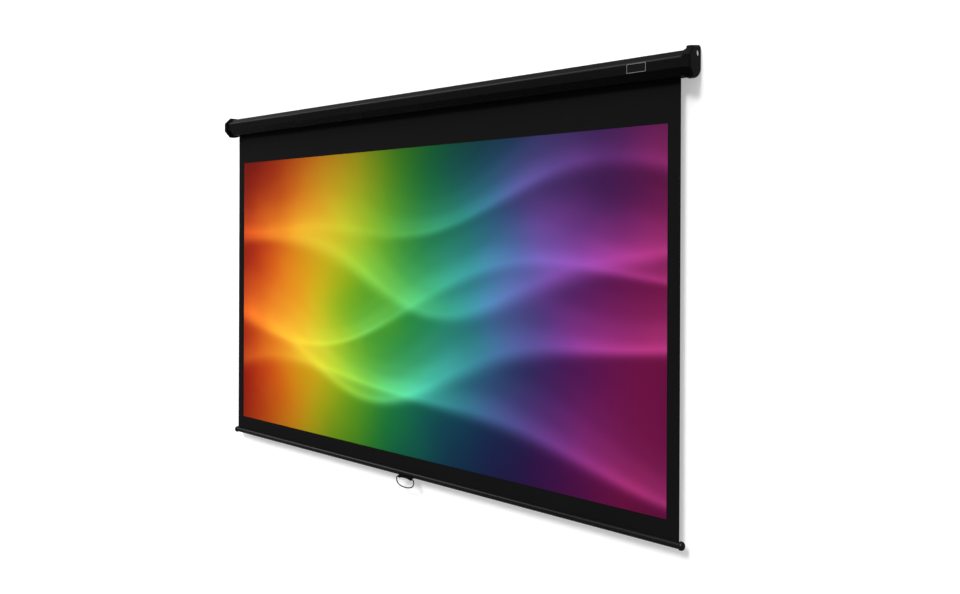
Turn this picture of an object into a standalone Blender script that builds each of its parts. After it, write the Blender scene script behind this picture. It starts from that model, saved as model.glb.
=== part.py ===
"""A wall-hung pull-down projector screen with a spring roller.

Metres, +Z up. X runs along the case, to the right as seen from the front. +Y runs into the wall. The origin
lies on the wall plane, at mid length, level with the centre line of the case. The screen is fully down.
"""

import math

import bmesh
import bpy

# Gaps: between pieces that touch, and between a shaft and the hole that it turns in
GAP = 0.0003
RUNNING_GAP = 0.0001

# How far a cutter runs past what it cuts
OVERCUT = 0.001

# Picture and fabric
PICTURE_WIDTH = 2.214
PICTURE_HEIGHT = 1.245
SIDE_BORDER = 0.043
TOP_DROP = 0.138
BOTTOM_BORDER = 0.061
FABRIC_THICK = 0.0004
FABRIC_Y = -0.0400
SURFACE_THICK = 0.0002

# Case tube
OVERALL_LENGTH = 2.400
CASE_FLATS = 0.079
CASE_WALL = 0.0012
CASE_BEND_RADIUS = 0.0025
CASE_END_SETBACK = 0.0168
SLOT_FRONT_Y = -0.0500
SLOT_REAR_Y = -0.0320
SLOT_LIP = 0.0040

# End caps: flange, collar round the case, stop for the case's end, boss for the roller, hook window
CAP_FLATS = 0.094
CAP_DEPTH = 0.022
CAP_WALL = 0.0025
CAP_EDGE_RADIUS = 0.009
CAP_WEB = 0.003
CAP_WEB_INSET = 0.0005
EAR_TOP = {"right": 0.0620, "left": 0.0480}
EAR_RADIUS = 0.011
EAR_FRONT_Y = -0.068
EAR_FRONT_TOP = 0.0505
LOWER_BACK_RUN = 0.050
LOWER_BACK_RISE = 0.034
LOWER_BACK_POWER = 1.75
COLLAR_FLATS = 0.0844
COLLAR_LENGTH = 0.008
COLLAR_STOP = 0.0025
COLLAR_STOP_FLATS = 0.075
BOSS_RADIUS = 0.011
BOSS_LENGTH = 0.010
HANGING_HOLE_RADIUS = 0.009
HANGING_HOLE_Y = -0.030
HANGING_HOLE_Z = 0.032
WINDOW_LOW = 0.016
WINDOW_BELOW_EAR = 0.0120

# Small pan-head screws
SCREW_RADIUS = 0.0013
SCREW_HEAD_RADIUS = 0.0028
SCREW_HEAD_TALL = 0.0018
SCREW_SHANK = 0.0080
SCREW_TIP = 0.0015
CAP_SCREW_FROM_END = 0.0255
CAP_SCREW_FRONT_Y = -0.0567
BRACKET_SCREW_X = 0.020

# Badge
BADGE_X = 1.020
BADGE_WIDE = 0.066
BADGE_TALL = 0.029
BADGE_THICK = 0.001
BADGE_RIM = 0.0014
BADGE_RECESS = 0.0004

# Roller, its plugs and its pins
ROLLER_RADIUS = 0.018
ROLLER_WALL = 0.001
ROLLER_HALF = 1.158
WRAPS_INNER = 0.0188
WRAPS_OUTER = 0.0193
TAPE_START = 60
TAPE_END = 120
PLUG_FLANGE = 0.002
PLUG_INSERT = 0.028
GUDGEON_RADIUS = 0.004
GUDGEON_INNER_X = 1.135
BUSH_RADIUS = 0.0065
BUSH_FLANGE_RADIUS = 0.009
BUSH_FLANGE_THICK = 0.0015

# Spindle, ratchet wheel and torsion spring
SPINDLE_RADIUS = 0.0025
SPINDLE_FLAT_WIDE = 0.006
SPINDLE_FLAT_THICK = 0.002
SPINDLE_FLAT_OVERLAP = 0.002
SPINDLE_ROUND_X = -1.178
SPINDLE_INNER_X = -0.735
RATCHET_RADIUS = 0.0065
RATCHET_THICK = 0.004
RATCHET_STANDOFF = 0.0005
NOTCH_HALF = 0.0012
NOTCH_DEPTH = 0.0018
SPRING_COLLAR_SPAN = (-1.122, -1.098)
SPRING_PLUG_SPAN = (-0.770, -0.745, -0.720)
SPRING_GRIP_RADIUS = 0.0082
SPRING_START_X = -1.118
SPRING_END_X = -0.750
SPRING_RADIUS = 0.0098
SPRING_WIRE = 0.0008
SPRING_TURNS = 24
SPRING_POINTS_PER_TURN = 10
LEAST_WIRE_GAP = 0.0004

# Pawls on the roller head
PAWL_PIN_Y = -0.0100
PAWL_PIN_Z = 0.0095
PAWL_PIN_RADIUS = 0.0011
PAWL_PIN_HEAD_RADIUS = 0.002
PAWL_PIN_HEAD_TALL = 0.001
PAWL_PIN_SEAT = 0.006
PAWL_HEEL_RADIUS = 0.0028
PAWL_THICK = 0.003
PAWL_REACH = 0.0105
PAWL_TIP_DEPTH = 0.0025
PAWL_TIP_FLAT = 0.0014
PAWL_TIP_ROOT = 0.0022
PAWL_UNDERSIDE = 0.0012
PAWL_TOPSIDE = 0.0010
PAWL_HANG_ANGLE = math.radians(35)

# Weight bar, its caps, and the hem inside it
BAR_RADIUS = 0.011
BAR_WALL = 0.0012
BAR_SLOT = 0.003
BAR_CAP_RADIUS = 0.014
BAR_CAP_LENGTH = 0.0177
BAR_CAP_INSERT = 0.018
BAR_CAP_SHOULDER = 0.002
BAR_CAP_ROUND_START = 0.006
BAR_CAP_LIP = 0.0005
BAR_CAP_TIP_SHARE = 0.08
BAR_CAP_ROUND_POWER = 0.8
EDGE_NOTCH_HALF = 0.001
EDGE_NOTCH_FLOOR = 0.0075
HEM_ROD_RADIUS = 0.0025
HEM_WALL = 0.0006
HEM_LIFT = 0.0045
HEM_SETBACK = 0.004

# Handle bracket and bail
HANDLE_X = -0.006
PIVOT_FORWARD = 0.012
PIVOT_BELOW = 0.014
BRACKET_HALF = 0.0375
SADDLE_WALL = 0.002
SADDLE_START = 165
SADDLE_END = 300
BLOCK_HALF = 0.004
BLOCK_TOP = -0.0088
ARCH_HALF = 0.026
ARCH_RISE = 0.004
BAIL_WIRE = 0.0024
BAIL_END = 0.031
BAIL_SEAT = 0.0295
BAIL_HALF_WIDTH = 0.047
BAIL_DROP = 0.038
SHOULDER_X = 0.0385
SHOULDER_DROP = 0.010
LOOP_POWER = 2.4
SHOULDER_STEPS = 6
LOOP_STEPS = 14

# Worked out from the sizes above
CASE_HALF = CASE_FLATS / 2
CAP_HALF = CAP_FLATS / 2
CASE_Y = -CAP_HALF
END_X = OVERALL_LENGTH / 2
FLANGE_X = END_X - CAP_DEPTH
COLLAR_X = FLANGE_X - COLLAR_LENGTH
CASE_END_X = END_X - CASE_END_SETBACK
BOSS_X = END_X - CAP_WALL - BOSS_LENGTH
CAP_SCREW_X = END_X - CAP_SCREW_FROM_END
FABRIC_HALF = PICTURE_WIDTH / 2 + SIDE_BORDER
PICTURE_TOP_Z = -CASE_HALF - TOP_DROP
PICTURE_BOTTOM_Z = PICTURE_TOP_Z - PICTURE_HEIGHT
BAR_Z = PICTURE_BOTTOM_Z - BOTTOM_BORDER - BAR_RADIUS
FABRIC_FRONT_Y = FABRIC_Y - FABRIC_THICK / 2
ROLLER_Y = FABRIC_FRONT_Y - GAP - WRAPS_OUTER
PLUG_RADIUS = ROLLER_RADIUS - ROLLER_WALL - GAP
HEAD_X = -ROLLER_HALF - PLUG_FLANGE
RATCHET_X = HEAD_X - RATCHET_STANDOFF - RATCHET_THICK
PAWL_X = RATCHET_X + RATCHET_THICK / 2
HEM_POCKET_RADIUS = HEM_ROD_RADIUS + GAP + HEM_WALL
HEM_HALF = FABRIC_HALF - BAR_CAP_INSERT - HEM_SETBACK
FABRIC_BOTTOM_Z = BAR_Z + HEM_LIFT + HEM_POCKET_RADIUS + GAP
SADDLE_INNER = BAR_RADIUS + GAP
SADDLE_OUTER = SADDLE_INNER + SADDLE_WALL
BLOCK_BOTTOM = -PIVOT_BELOW - BLOCK_HALF
PIVOT_Y = FABRIC_Y - PIVOT_FORWARD
PIVOT_Z = BAR_Z - PIVOT_BELOW
OCTAGON_HALF_ANGLE = math.radians(22.5)
CAP_SIDE = CAP_HALF * math.tan(OCTAGON_HALF_ANGLE)


for old in list(bpy.data.objects):
    bpy.data.objects.remove(old)


# Materials

def material(name, colour, roughness, metallic=0.0):
    """A Principled material of one colour, roughness and metallic value."""
    made = bpy.data.materials.new(name)
    made.use_nodes = True
    shader = made.node_tree.nodes["Principled BSDF"]
    shader.inputs["Base Color"].default_value = (*colour, 1.0)
    shader.inputs["Roughness"].default_value = roughness
    shader.inputs["Metallic"].default_value = metallic
    return made


CASE_PAINT = material("black satin paint", (0.012, 0.012, 0.013), 0.42)
CAP_PLASTIC = material("black moulded plastic", (0.010, 0.010, 0.011), 0.38)
MASKING = material("black masking", (0.010, 0.010, 0.011), 0.70)
PICTURE = material("matte white picture surface", (0.80, 0.80, 0.80), 0.85)
STEEL = material("zinc plated steel", (0.55, 0.55, 0.56), 0.35, 1.0)
DARK_WIRE = material("dark grey wire", (0.10, 0.10, 0.11), 0.35, 0.8)
BLACK_SCREW = material("black screw", (0.03, 0.03, 0.03), 0.40, 0.6)
NYLON = material("white nylon", (0.75, 0.74, 0.70), 0.45)
TAPE = material("adhesive strip", (0.55, 0.50, 0.38), 0.60)
BADGE_METAL = material("badge plate", (0.30, 0.30, 0.32), 0.30, 0.9)


# Helpers that make, place and combine solids

def empty(name, location, parent=None):
    """A named frame on a joint's axis, which carries the pieces that move about it."""
    made = bpy.data.objects.new(name, None)
    bpy.context.collection.objects.link(made)
    made.parent = parent
    made.location = location
    return made


def smooth(mesh):
    """Shade a mesh's round stretches smooth and keep its corners sharp."""
    mesh.shade_smooth()
    mesh.set_sharp_from_angle(angle=math.radians(35))


def place(name, mesh, finish, parent=None, location=(0.0, 0.0, 0.0), rotation=(0.0, 0.0, 0.0)):
    """An object that shows a mesh, in its material, at its place under its parent."""
    made = bpy.data.objects.new(name, mesh)
    bpy.context.collection.objects.link(made)
    if finish and finish.name not in mesh.materials:
        mesh.materials.append(finish)
    made.parent = parent
    made.location = location
    made.rotation_euler = rotation
    smooth(mesh)
    bpy.context.view_layer.update()
    return made


def mesh_from(name, shape):
    """A mesh made from a bmesh, with its faces turned out."""
    bmesh.ops.recalc_face_normals(shape, faces=shape.faces)
    mesh = bpy.data.meshes.new(name)
    shape.to_mesh(mesh)
    shape.free()
    return mesh


def solid(name, shape, finish, parent=None, location=(0.0, 0.0, 0.0)):
    """An object made from a bmesh."""
    return place(name, mesh_from(name, shape), finish, parent, location)


def combine(target, operation, shape):
    """Join a second shape, in world coordinates, to an object, or cut it away."""
    tool = solid("tool", shape, None)
    step = target.modifiers.new(operation.lower(), "BOOLEAN")
    step.operation = operation
    step.solver = "EXACT"
    step.object = tool
    made = target.evaluated_get(bpy.context.evaluated_depsgraph_get())
    mesh = bpy.data.meshes.new_from_object(made)
    target.modifiers.clear()
    target.data = mesh
    smooth(mesh)
    bpy.data.objects.remove(tool)


def loft(sections, closed_ends=True):
    """A skin through outlines of equal length, each an (x, outline) pair.

    With closed ends each end gets a face; without, the last outline is joined back to the first.
    """
    shape = bmesh.new()
    rings = [[shape.verts.new((x, y, z)) for y, z in outline] for x, outline in sections]
    pairs = list(zip(rings, rings[1:]))
    if not closed_ends:
        pairs.append((rings[-1], rings[0]))
    for near, far in pairs:
        for i in range(len(near)):
            j = (i + 1) % len(near)
            shape.faces.new((near[i], near[j], far[j], far[i]))
    if closed_ends:
        shape.faces.new(rings[0])
        shape.faces.new(rings[-1])
    return shape


def prism(outline, start, end):
    """An outline in the YZ plane carried along X from start to end."""
    return loft([(start, outline), (end, outline)])


def block(low, high):
    """A box from its lowest to its highest corner."""
    outline = [(low[1], low[2]), (high[1], low[2]), (high[1], high[2]), (low[1], high[2])]
    return prism(outline, low[0], high[0])


def circle(radius, sides, centre=(0.0, 0.0)):
    """Points round a circle in the YZ plane."""
    turns = [2 * math.pi * (i + 0.5) / sides for i in range(sides)]
    return [(centre[0] + radius * math.cos(t), centre[1] + radius * math.sin(t)) for t in turns]


def rod(radius, start, end, sides=24, centre=(0.0, 0.0)):
    """A round bar along X."""
    return prism(circle(radius, sides, centre), start, end)


def turned_ring(profile, sides=32):
    """A ring turned about the X axis from a closed profile of (x, radius) points, all off the axis."""
    return loft([(x, circle(radius, sides)) for x, radius in profile], closed_ends=False)


def turned_solid(profile, sides=32):
    """A solid turned about the X axis from an open profile of (x, radius) points."""
    return loft([(x, circle(radius, sides)) for x, radius in profile])


def upright_rod(radius, x, y, low, high, sides=16):
    """A round bar along Z."""
    shape = rod(radius, low, high, sides)
    for vert in shape.verts:
        along, across, up = vert.co
        vert.co = (x + up, y + across, along)
    return shape


def octagon(half):
    """A regular octagon about the case's centre line, with flats square to Y and Z, from its half width."""
    side = half * math.tan(OCTAGON_HALF_ANGLE)
    corners = [(half, -side), (half, side), (side, half), (-side, half)]
    corners += [(-y, -z) for y, z in corners]
    return [(CASE_Y + y, z) for y, z in corners]


def inset(outline, distance):
    """An outline, listed anticlockwise, with each edge moved inwards by a distance."""
    lines = []
    for (y0, z0), (y1, z1) in zip(outline, outline[1:] + outline[:1]):
        length = math.hypot(y1 - y0, z1 - z0)
        normal = (-(z1 - z0) / length, (y1 - y0) / length)
        lines.append((normal, normal[0] * y0 + normal[1] * z0 + distance))
    moved = []
    for (n0, d0), (n1, d1) in zip(lines[-1:] + lines[:-1], lines):
        across = n0[0] * n1[1] - n0[1] * n1[0]
        moved.append(((d0 * n1[1] - d1 * n0[1]) / across, (n0[0] * d1 - n1[0] * d0) / across))
    return moved


def arc(centre, radius, start, end, steps):
    """Points along an arc, with its angles in degrees from +Y towards +Z."""
    angles = [math.radians(start + (end - start) * i / steps) for i in range(steps + 1)]
    return [(centre[0] + radius * math.cos(a), centre[1] + radius * math.sin(a)) for a in angles]


def wire(name, points, radius, finish, parent):
    """A round wire along a line of points, with its ends filled."""
    curve = bpy.data.curves.new(name, "CURVE")
    curve.dimensions = "3D"
    curve.bevel_depth = radius
    curve.bevel_resolution = 1
    curve.use_fill_caps = True
    spline = curve.splines.new("POLY")
    spline.points.add(len(points) - 1)
    for point, (x, y, z) in zip(spline.points, points):
        point.co = (x, y, z, 1.0)
    curve.materials.append(finish)
    made = bpy.data.objects.new(name, curve)
    bpy.context.collection.objects.link(made)
    made.parent = parent
    return made


# Case tube: one roll-formed octagonal tube, with a lipped slot along its underside

def bent_corner(before, corner, after, radius, steps=3):
    """Points round a bend of a given radius at a corner of an outline."""
    into = (before[0] - corner[0], before[1] - corner[1])
    out = (after[0] - corner[0], after[1] - corner[1])
    into_length = math.hypot(*into)
    out_length = math.hypot(*out)
    half = math.acos((into[0] * out[0] + into[1] * out[1]) / into_length / out_length) / 2
    back = radius / math.tan(half)
    start = [c + d / into_length * back for c, d in zip(corner, into)]
    end = [c + d / out_length * back for c, d in zip(corner, out)]
    points = []
    for i in range(steps + 1):
        t = i / steps
        weights = ((1 - t) ** 2, 2 * t * (1 - t), t ** 2)
        points.append(tuple(weights[0] * s + weights[1] * c + weights[2] * e
                            for s, c, e in zip(start, corner, end)))
    return points


def bent_octagon(half, radius):
    """The octagon's outline with bent corners, from the rear slot edge round to the front slot edge."""
    corners = octagon(half)
    order = corners[-1:] + corners[:-1]
    path = []
    for i, corner in enumerate(order):
        path += bent_corner(order[i - 1], corner, order[(i + 1) % len(order)], radius)
    return path


def case_outline():
    """The tube's section: its outer skin, one lip, its inner skin back again, and the other lip."""
    outer = bent_octagon(CASE_HALF, CASE_BEND_RADIUS)
    inner = bent_octagon(CASE_HALF - CASE_WALL, CASE_BEND_RADIUS - CASE_WALL)
    lip_top = -CASE_HALF + SLOT_LIP
    floor = -CASE_HALF + CASE_WALL
    rear_lip = [(SLOT_REAR_Y + CASE_WALL, floor), (SLOT_REAR_Y + CASE_WALL, lip_top),
                (SLOT_REAR_Y, lip_top), (SLOT_REAR_Y, -CASE_HALF)]
    front_lip = [(SLOT_FRONT_Y, -CASE_HALF), (SLOT_FRONT_Y, lip_top),
                 (SLOT_FRONT_Y - CASE_WALL, lip_top), (SLOT_FRONT_Y - CASE_WALL, floor)]
    return rear_lip + outer + front_lip + inner[::-1]


case_tube = solid("case_tube", prism(case_outline(), -CASE_END_X, CASE_END_X), CASE_PAINT)


# End caps: moulded cups with a wider octagonal flange, an ear with a hanging hole, and an open back

def cap_outline(end_name):
    """The flange as seen from the right end, anticlockwise from the wall: an octagon with an ear at the top back.

    The ear has a rounded back corner, and its top falls a little towards the front. The lower back corner is a
    stretched arc. On the right the ear stands well over the octagon and ends in an upright step on its upper
    front edge. On the left it barely rises over the octagon.
    """
    ear = arc((-EAR_RADIUS, EAR_TOP[end_name] - EAR_RADIUS), EAR_RADIUS, 0, 90, 4)
    if end_name == "right":
        ear += [(EAR_FRONT_Y, EAR_FRONT_TOP), (EAR_FRONT_Y, EAR_FRONT_Y + CAP_FLATS + CAP_SIDE)]
    else:
        ear.append((-CAP_HALF - CAP_SIDE, CAP_HALF))
    front = [(-CAP_FLATS, CAP_SIDE), (-CAP_FLATS, -CAP_SIDE), (-CAP_HALF - CAP_SIDE, -CAP_HALF)]
    lower_back = []
    for a in map(math.radians, (0, 22.5, 45, 67.5, 90)):
        along = math.sin(a) ** (2 / LOWER_BACK_POWER)
        down = math.cos(a) ** (2 / LOWER_BACK_POWER)
        lower_back.append((LOWER_BACK_RUN * (along - 1), -CAP_HALF + LOWER_BACK_RISE * (1 - down)))
    return ear + front + lower_back


def cap_shell(outline, side):
    """The flange: a cup with a rounded outer edge, open towards the case."""
    fillet_x = END_X - CAP_EDGE_RADIUS
    inner_radius = CAP_EDGE_RADIUS - CAP_WALL
    quarter = [math.radians(a) for a in (0, 30, 60, 90)]
    outside = [(fillet_x + CAP_EDGE_RADIUS * math.sin(a), CAP_EDGE_RADIUS * (1 - math.cos(a)))
               for a in quarter]
    inside = [(fillet_x + inner_radius * math.sin(a), CAP_WALL + inner_radius * (1 - math.cos(a)))
              for a in quarter]
    levels = [*inside[::-1], (FLANGE_X, CAP_WALL), (FLANGE_X, 0.0), *outside]
    return loft([(side * x, inset(outline, depth)) for x, depth in levels])


def roller_seat(side):
    """The hole in the boss: round for the bush on the right, a flat slot for the spindle on the left."""
    if side > 0:
        return rod(BUSH_RADIUS + GAP, BOSS_X - OVERCUT, END_X - CAP_WALL, 32, (ROLLER_Y, 0))
    half_thick = SPINDLE_FLAT_THICK / 2 + GAP
    half_wide = SPINDLE_FLAT_WIDE / 2 + GAP
    return block((CAP_WALL - END_X, ROLLER_Y - half_thick, -half_wide),
                 (OVERCUT - BOSS_X, ROLLER_Y + half_thick, half_wide))


def end_cap(end_name, side):
    """One end cap, on the right for side 1 and on the left for side -1."""
    outline = cap_outline(end_name)
    cap = solid(f"end_cap_{end_name}", cap_shell(outline, side), CAP_PLASTIC)
    web = inset(outline, CAP_WALL / 2)
    collar_end = CASE_END_X + GAP + COLLAR_STOP
    web_start = FLANGE_X + CAP_WEB_INSET
    web_end = web_start + CAP_WEB
    combine(cap, "UNION", prism(web, side * web_start, side * web_end))
    combine(cap, "UNION", prism(octagon(COLLAR_FLATS / 2), side * COLLAR_X, side * collar_end))
    combine(cap, "DIFFERENCE", prism(octagon(CASE_HALF + GAP), side * (COLLAR_X - OVERCUT),
                                     side * (CASE_END_X + GAP)))
    combine(cap, "DIFFERENCE", prism(octagon(COLLAR_STOP_FLATS / 2), side * COLLAR_X,
                                     side * (collar_end + OVERCUT)))
    combine(cap, "UNION", rod(BOSS_RADIUS, side * BOSS_X, side * (END_X - CAP_WALL / 2), 32, (ROLLER_Y, 0)))
    combine(cap, "DIFFERENCE", roller_seat(side))
    window_ends = sorted((side * web_end, side * (END_X - CAP_EDGE_RADIUS)))
    combine(cap, "DIFFERENCE", block((window_ends[0], -CAP_WALL - OVERCUT, WINDOW_LOW),
                                     (window_ends[1], OVERCUT, EAR_TOP[end_name] - WINDOW_BELOW_EAR)))
    combine(cap, "DIFFERENCE", rod(HANGING_HOLE_RADIUS, side * (END_X - CAP_WALL - OVERCUT),
                                   side * (END_X + OVERCUT), 32, (HANGING_HOLE_Y, HANGING_HOLE_Z)))
    return cap


caps = {-1: end_cap("left", -1), 1: end_cap("right", 1)}


# Cap screws: one from below and one from above at each end, through the collar into the case

def screw_shape():
    """A pan-head screw along X, with its tip at -SCREW_SHANK and the underside of its head at 0."""
    tip = [(-SCREW_SHANK, SCREW_RADIUS / 4), (SCREW_TIP - SCREW_SHANK, SCREW_RADIUS)]
    dome = [(SCREW_HEAD_TALL / 2, SCREW_HEAD_RADIUS), (SCREW_HEAD_TALL, SCREW_HEAD_RADIUS * 0.6)]
    return turned_solid([*tip, (0.0, SCREW_RADIUS), (0.0, SCREW_HEAD_RADIUS), *dome], 16)


screw_mesh = mesh_from("screw", screw_shape())
HEAD_DOWN = (0.0, math.pi / 2, 0.0)
HEAD_UP = (0.0, -math.pi / 2, 0.0)

for end_name, side in (("left", -1), ("right", 1)):
    screw_x = side * CAP_SCREW_X
    for level_name, level, screw_y, turn in (("bottom", -1, CAP_SCREW_FRONT_Y, HEAD_DOWN),
                                             ("top", 1, CASE_Y, HEAD_UP)):
        ends = sorted((level * (CASE_HALF - CASE_WALL - OVERCUT), level * (COLLAR_FLATS / 2 + OVERCUT)))
        for piece in (caps[side], case_tube):
            combine(piece, "DIFFERENCE", upright_rod(SCREW_RADIUS + GAP, screw_x, screw_y, *ends))
        place(f"cap_screw_{end_name}_{level_name}", screw_mesh, BLACK_SCREW,
              location=(screw_x, screw_y, level * (COLLAR_FLATS / 2 + GAP)), rotation=turn)


# Badge: a thin bare plate with a raised rim, stuck to the front flat of the case

badge_back = CASE_Y - CASE_HALF - GAP
badge_front = badge_back - BADGE_THICK
badge = solid("badge_plate", block((BADGE_X - BADGE_WIDE / 2, badge_front, -BADGE_TALL / 2),
                                   (BADGE_X + BADGE_WIDE / 2, badge_back, BADGE_TALL / 2)), BADGE_METAL)
combine(badge, "DIFFERENCE", block(
    (BADGE_X - BADGE_WIDE / 2 + BADGE_RIM, badge_front - OVERCUT, BADGE_RIM - BADGE_TALL / 2),
    (BADGE_X + BADGE_WIDE / 2 - BADGE_RIM, badge_front + BADGE_RECESS, BADGE_TALL / 2 - BADGE_RIM)))


# Fabric: one tensioned sheet from the roller's rear to the bar, with the picture surface laid on its front

solid("screen_fabric", block((-FABRIC_HALF, FABRIC_FRONT_Y, FABRIC_BOTTOM_Z),
                             (FABRIC_HALF, FABRIC_FRONT_Y + FABRIC_THICK, 0.0)), MASKING)
surface_back = FABRIC_FRONT_Y - GAP
solid("viewing_surface", block((-PICTURE_WIDTH / 2, surface_back - SURFACE_THICK, PICTURE_BOTTOM_Z),
                               (PICTURE_WIDTH / 2, surface_back, PICTURE_TOP_Z)), PICTURE)


# Spindle and what is fixed on it: held still by its flat end in the left cap

ROLLER_CENTRE = (0.0, ROLLER_Y, 0.0)
spindle = solid("spindle", rod(SPINDLE_RADIUS, SPINDLE_ROUND_X, SPINDLE_INNER_X), STEEL, None, ROLLER_CENTRE)
combine(spindle, "UNION", block(
    (CAP_WALL + GAP - END_X, ROLLER_Y - SPINDLE_FLAT_THICK / 2, -SPINDLE_FLAT_WIDE / 2),
    (SPINDLE_ROUND_X + SPINDLE_FLAT_OVERLAP, ROLLER_Y + SPINDLE_FLAT_THICK / 2, SPINDLE_FLAT_WIDE / 2)))


def fixed_ring(name, start, end, radius, finish):
    """A plain ring fixed on the spindle."""
    bore = SPINDLE_RADIUS + GAP
    profile = [(start, bore), (start, radius), (end, radius), (end, bore)]
    return solid(name, turned_ring(profile), finish, None, ROLLER_CENTRE)


ratchet = fixed_ring("ratchet_wheel", RATCHET_X, RATCHET_X + RATCHET_THICK, RATCHET_RADIUS, STEEL)
for notch_z in (RATCHET_RADIUS, -RATCHET_RADIUS):
    combine(ratchet, "DIFFERENCE", block(
        (RATCHET_X - OVERCUT, ROLLER_Y - NOTCH_HALF, notch_z - NOTCH_DEPTH),
        (RATCHET_X + RATCHET_THICK + OVERCUT, ROLLER_Y + NOTCH_HALF, notch_z + NOTCH_DEPTH)))
fixed_ring("spring_collar", *SPRING_COLLAR_SPAN, SPRING_GRIP_RADIUS, NYLON)


# Bush: a flanged nylon ring pressed into the right cap's boss

bush_bore = GUDGEON_RADIUS + RUNNING_GAP
bush_end = END_X - CAP_WALL - GAP
flange_end = BOSS_X - GAP
flange_start = flange_end - BUSH_FLANGE_THICK
solid("pin_bush", turned_ring([
    (flange_start, bush_bore), (flange_start, BUSH_FLANGE_RADIUS), (flange_end, BUSH_FLANGE_RADIUS),
    (flange_end, BUSH_RADIUS), (bush_end, BUSH_RADIUS), (bush_end, bush_bore)]), NYLON, None, ROLLER_CENTRE)


# Roller: a steel tube that winds the fabric, with a plug in each end and the spring inside

roller_axis = empty("roller_axis", ROLLER_CENTRE)


def roller_sleeve(name, inner, outer, half, finish):
    """A thin tube about the roller's axis."""
    profile = [(-half, inner), (-half, outer), (half, outer), (half, inner)]
    return solid(name, turned_ring(profile), finish, roller_axis)


roller_sleeve("roller_tube", ROLLER_RADIUS - ROLLER_WALL, ROLLER_RADIUS, ROLLER_HALF, STEEL)
roller_sleeve("fabric_wraps", WRAPS_INNER, WRAPS_OUTER, FABRIC_HALF, MASKING)
tape_outline = arc((0.0, 0.0), ROLLER_RADIUS + GAP / 2, TAPE_START, TAPE_END, 8)
tape_outline += arc((0.0, 0.0), WRAPS_INNER - GAP, TAPE_END, TAPE_START, 8)
solid("fabric_tape", prism(tape_outline, -FABRIC_HALF, FABRIC_HALF), TAPE, roller_axis)


def end_plug(name, side, bore):
    """A flanged plug pressed into one end of the roller tube."""
    insert_end = ROLLER_HALF - PLUG_INSERT
    flange_near = ROLLER_HALF + GAP
    flange_far = ROLLER_HALF + PLUG_FLANGE
    profile = [(insert_end, bore), (insert_end, PLUG_RADIUS), (flange_near, PLUG_RADIUS),
               (flange_near, ROLLER_RADIUS), (flange_far, ROLLER_RADIUS), (flange_far, bore)]
    return solid(name, turned_ring([(side * x, radius) for x, radius in profile]), NYLON, roller_axis)


head_plug = end_plug("roller_head_plug", -1, SPINDLE_RADIUS + RUNNING_GAP)
end_plug("idle_end_plug", 1, GUDGEON_RADIUS + GAP)
solid("gudgeon_pin", rod(GUDGEON_RADIUS, GUDGEON_INNER_X, bush_end - GAP), STEEL, roller_axis)

plug_start, plug_step, plug_end = SPRING_PLUG_SPAN
plug_bore = SPINDLE_RADIUS + RUNNING_GAP
solid("spring_plug", turned_ring([
    (plug_start, plug_bore), (plug_start, SPRING_GRIP_RADIUS), (plug_step, SPRING_GRIP_RADIUS),
    (plug_step, PLUG_RADIUS), (plug_end, PLUG_RADIUS), (plug_end, plug_bore)]), NYLON, roller_axis)


# Torsion spring: a helix from the collar on the spindle to the plug in the tube

def spring_point(number):
    """A point of the helix, counted from its start."""
    turn = number / SPRING_POINTS_PER_TURN
    share = turn / SPRING_TURNS
    return (SPRING_START_X + share * (SPRING_END_X - SPRING_START_X),
            SPRING_RADIUS * math.cos(2 * math.pi * turn), SPRING_RADIUS * math.sin(2 * math.pi * turn))


spring_path = [spring_point(i) for i in range(SPRING_TURNS * SPRING_POINTS_PER_TURN + 1)]
wire("torsion_spring", spring_path, SPRING_WIRE, STEEL, roller_axis)
spring_gap = min(math.dist(near, far) for i, near in enumerate(spring_path)
                 for far in spring_path[i + SPRING_POINTS_PER_TURN // 2:]) - 2 * SPRING_WIRE
print(f"least gap between the torsion spring's turns: {spring_gap * 1000:.1f} mm")
assert spring_gap > LEAST_WIRE_GAP


# Pawls: two small levers on pins in the roller head, which drop towards the ratchet wheel when it turns slowly

def pawl_outline(angle):
    """A lever from its pin at the origin along an angle from +Y, with a tip that hooks down at its far end."""
    heel = arc((0.0, 0.0), PAWL_HEEL_RADIUS, 50, 310, 10)
    tip = [(PAWL_REACH - PAWL_TIP_ROOT, -PAWL_UNDERSIDE), (PAWL_REACH - PAWL_TIP_FLAT, -PAWL_TIP_DEPTH),
           (PAWL_REACH, -PAWL_TIP_DEPTH), (PAWL_REACH, PAWL_TOPSIDE)]
    return [(y * math.cos(angle) - z * math.sin(angle), y * math.sin(angle) + z * math.cos(angle))
            for y, z in heel + tip]


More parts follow.
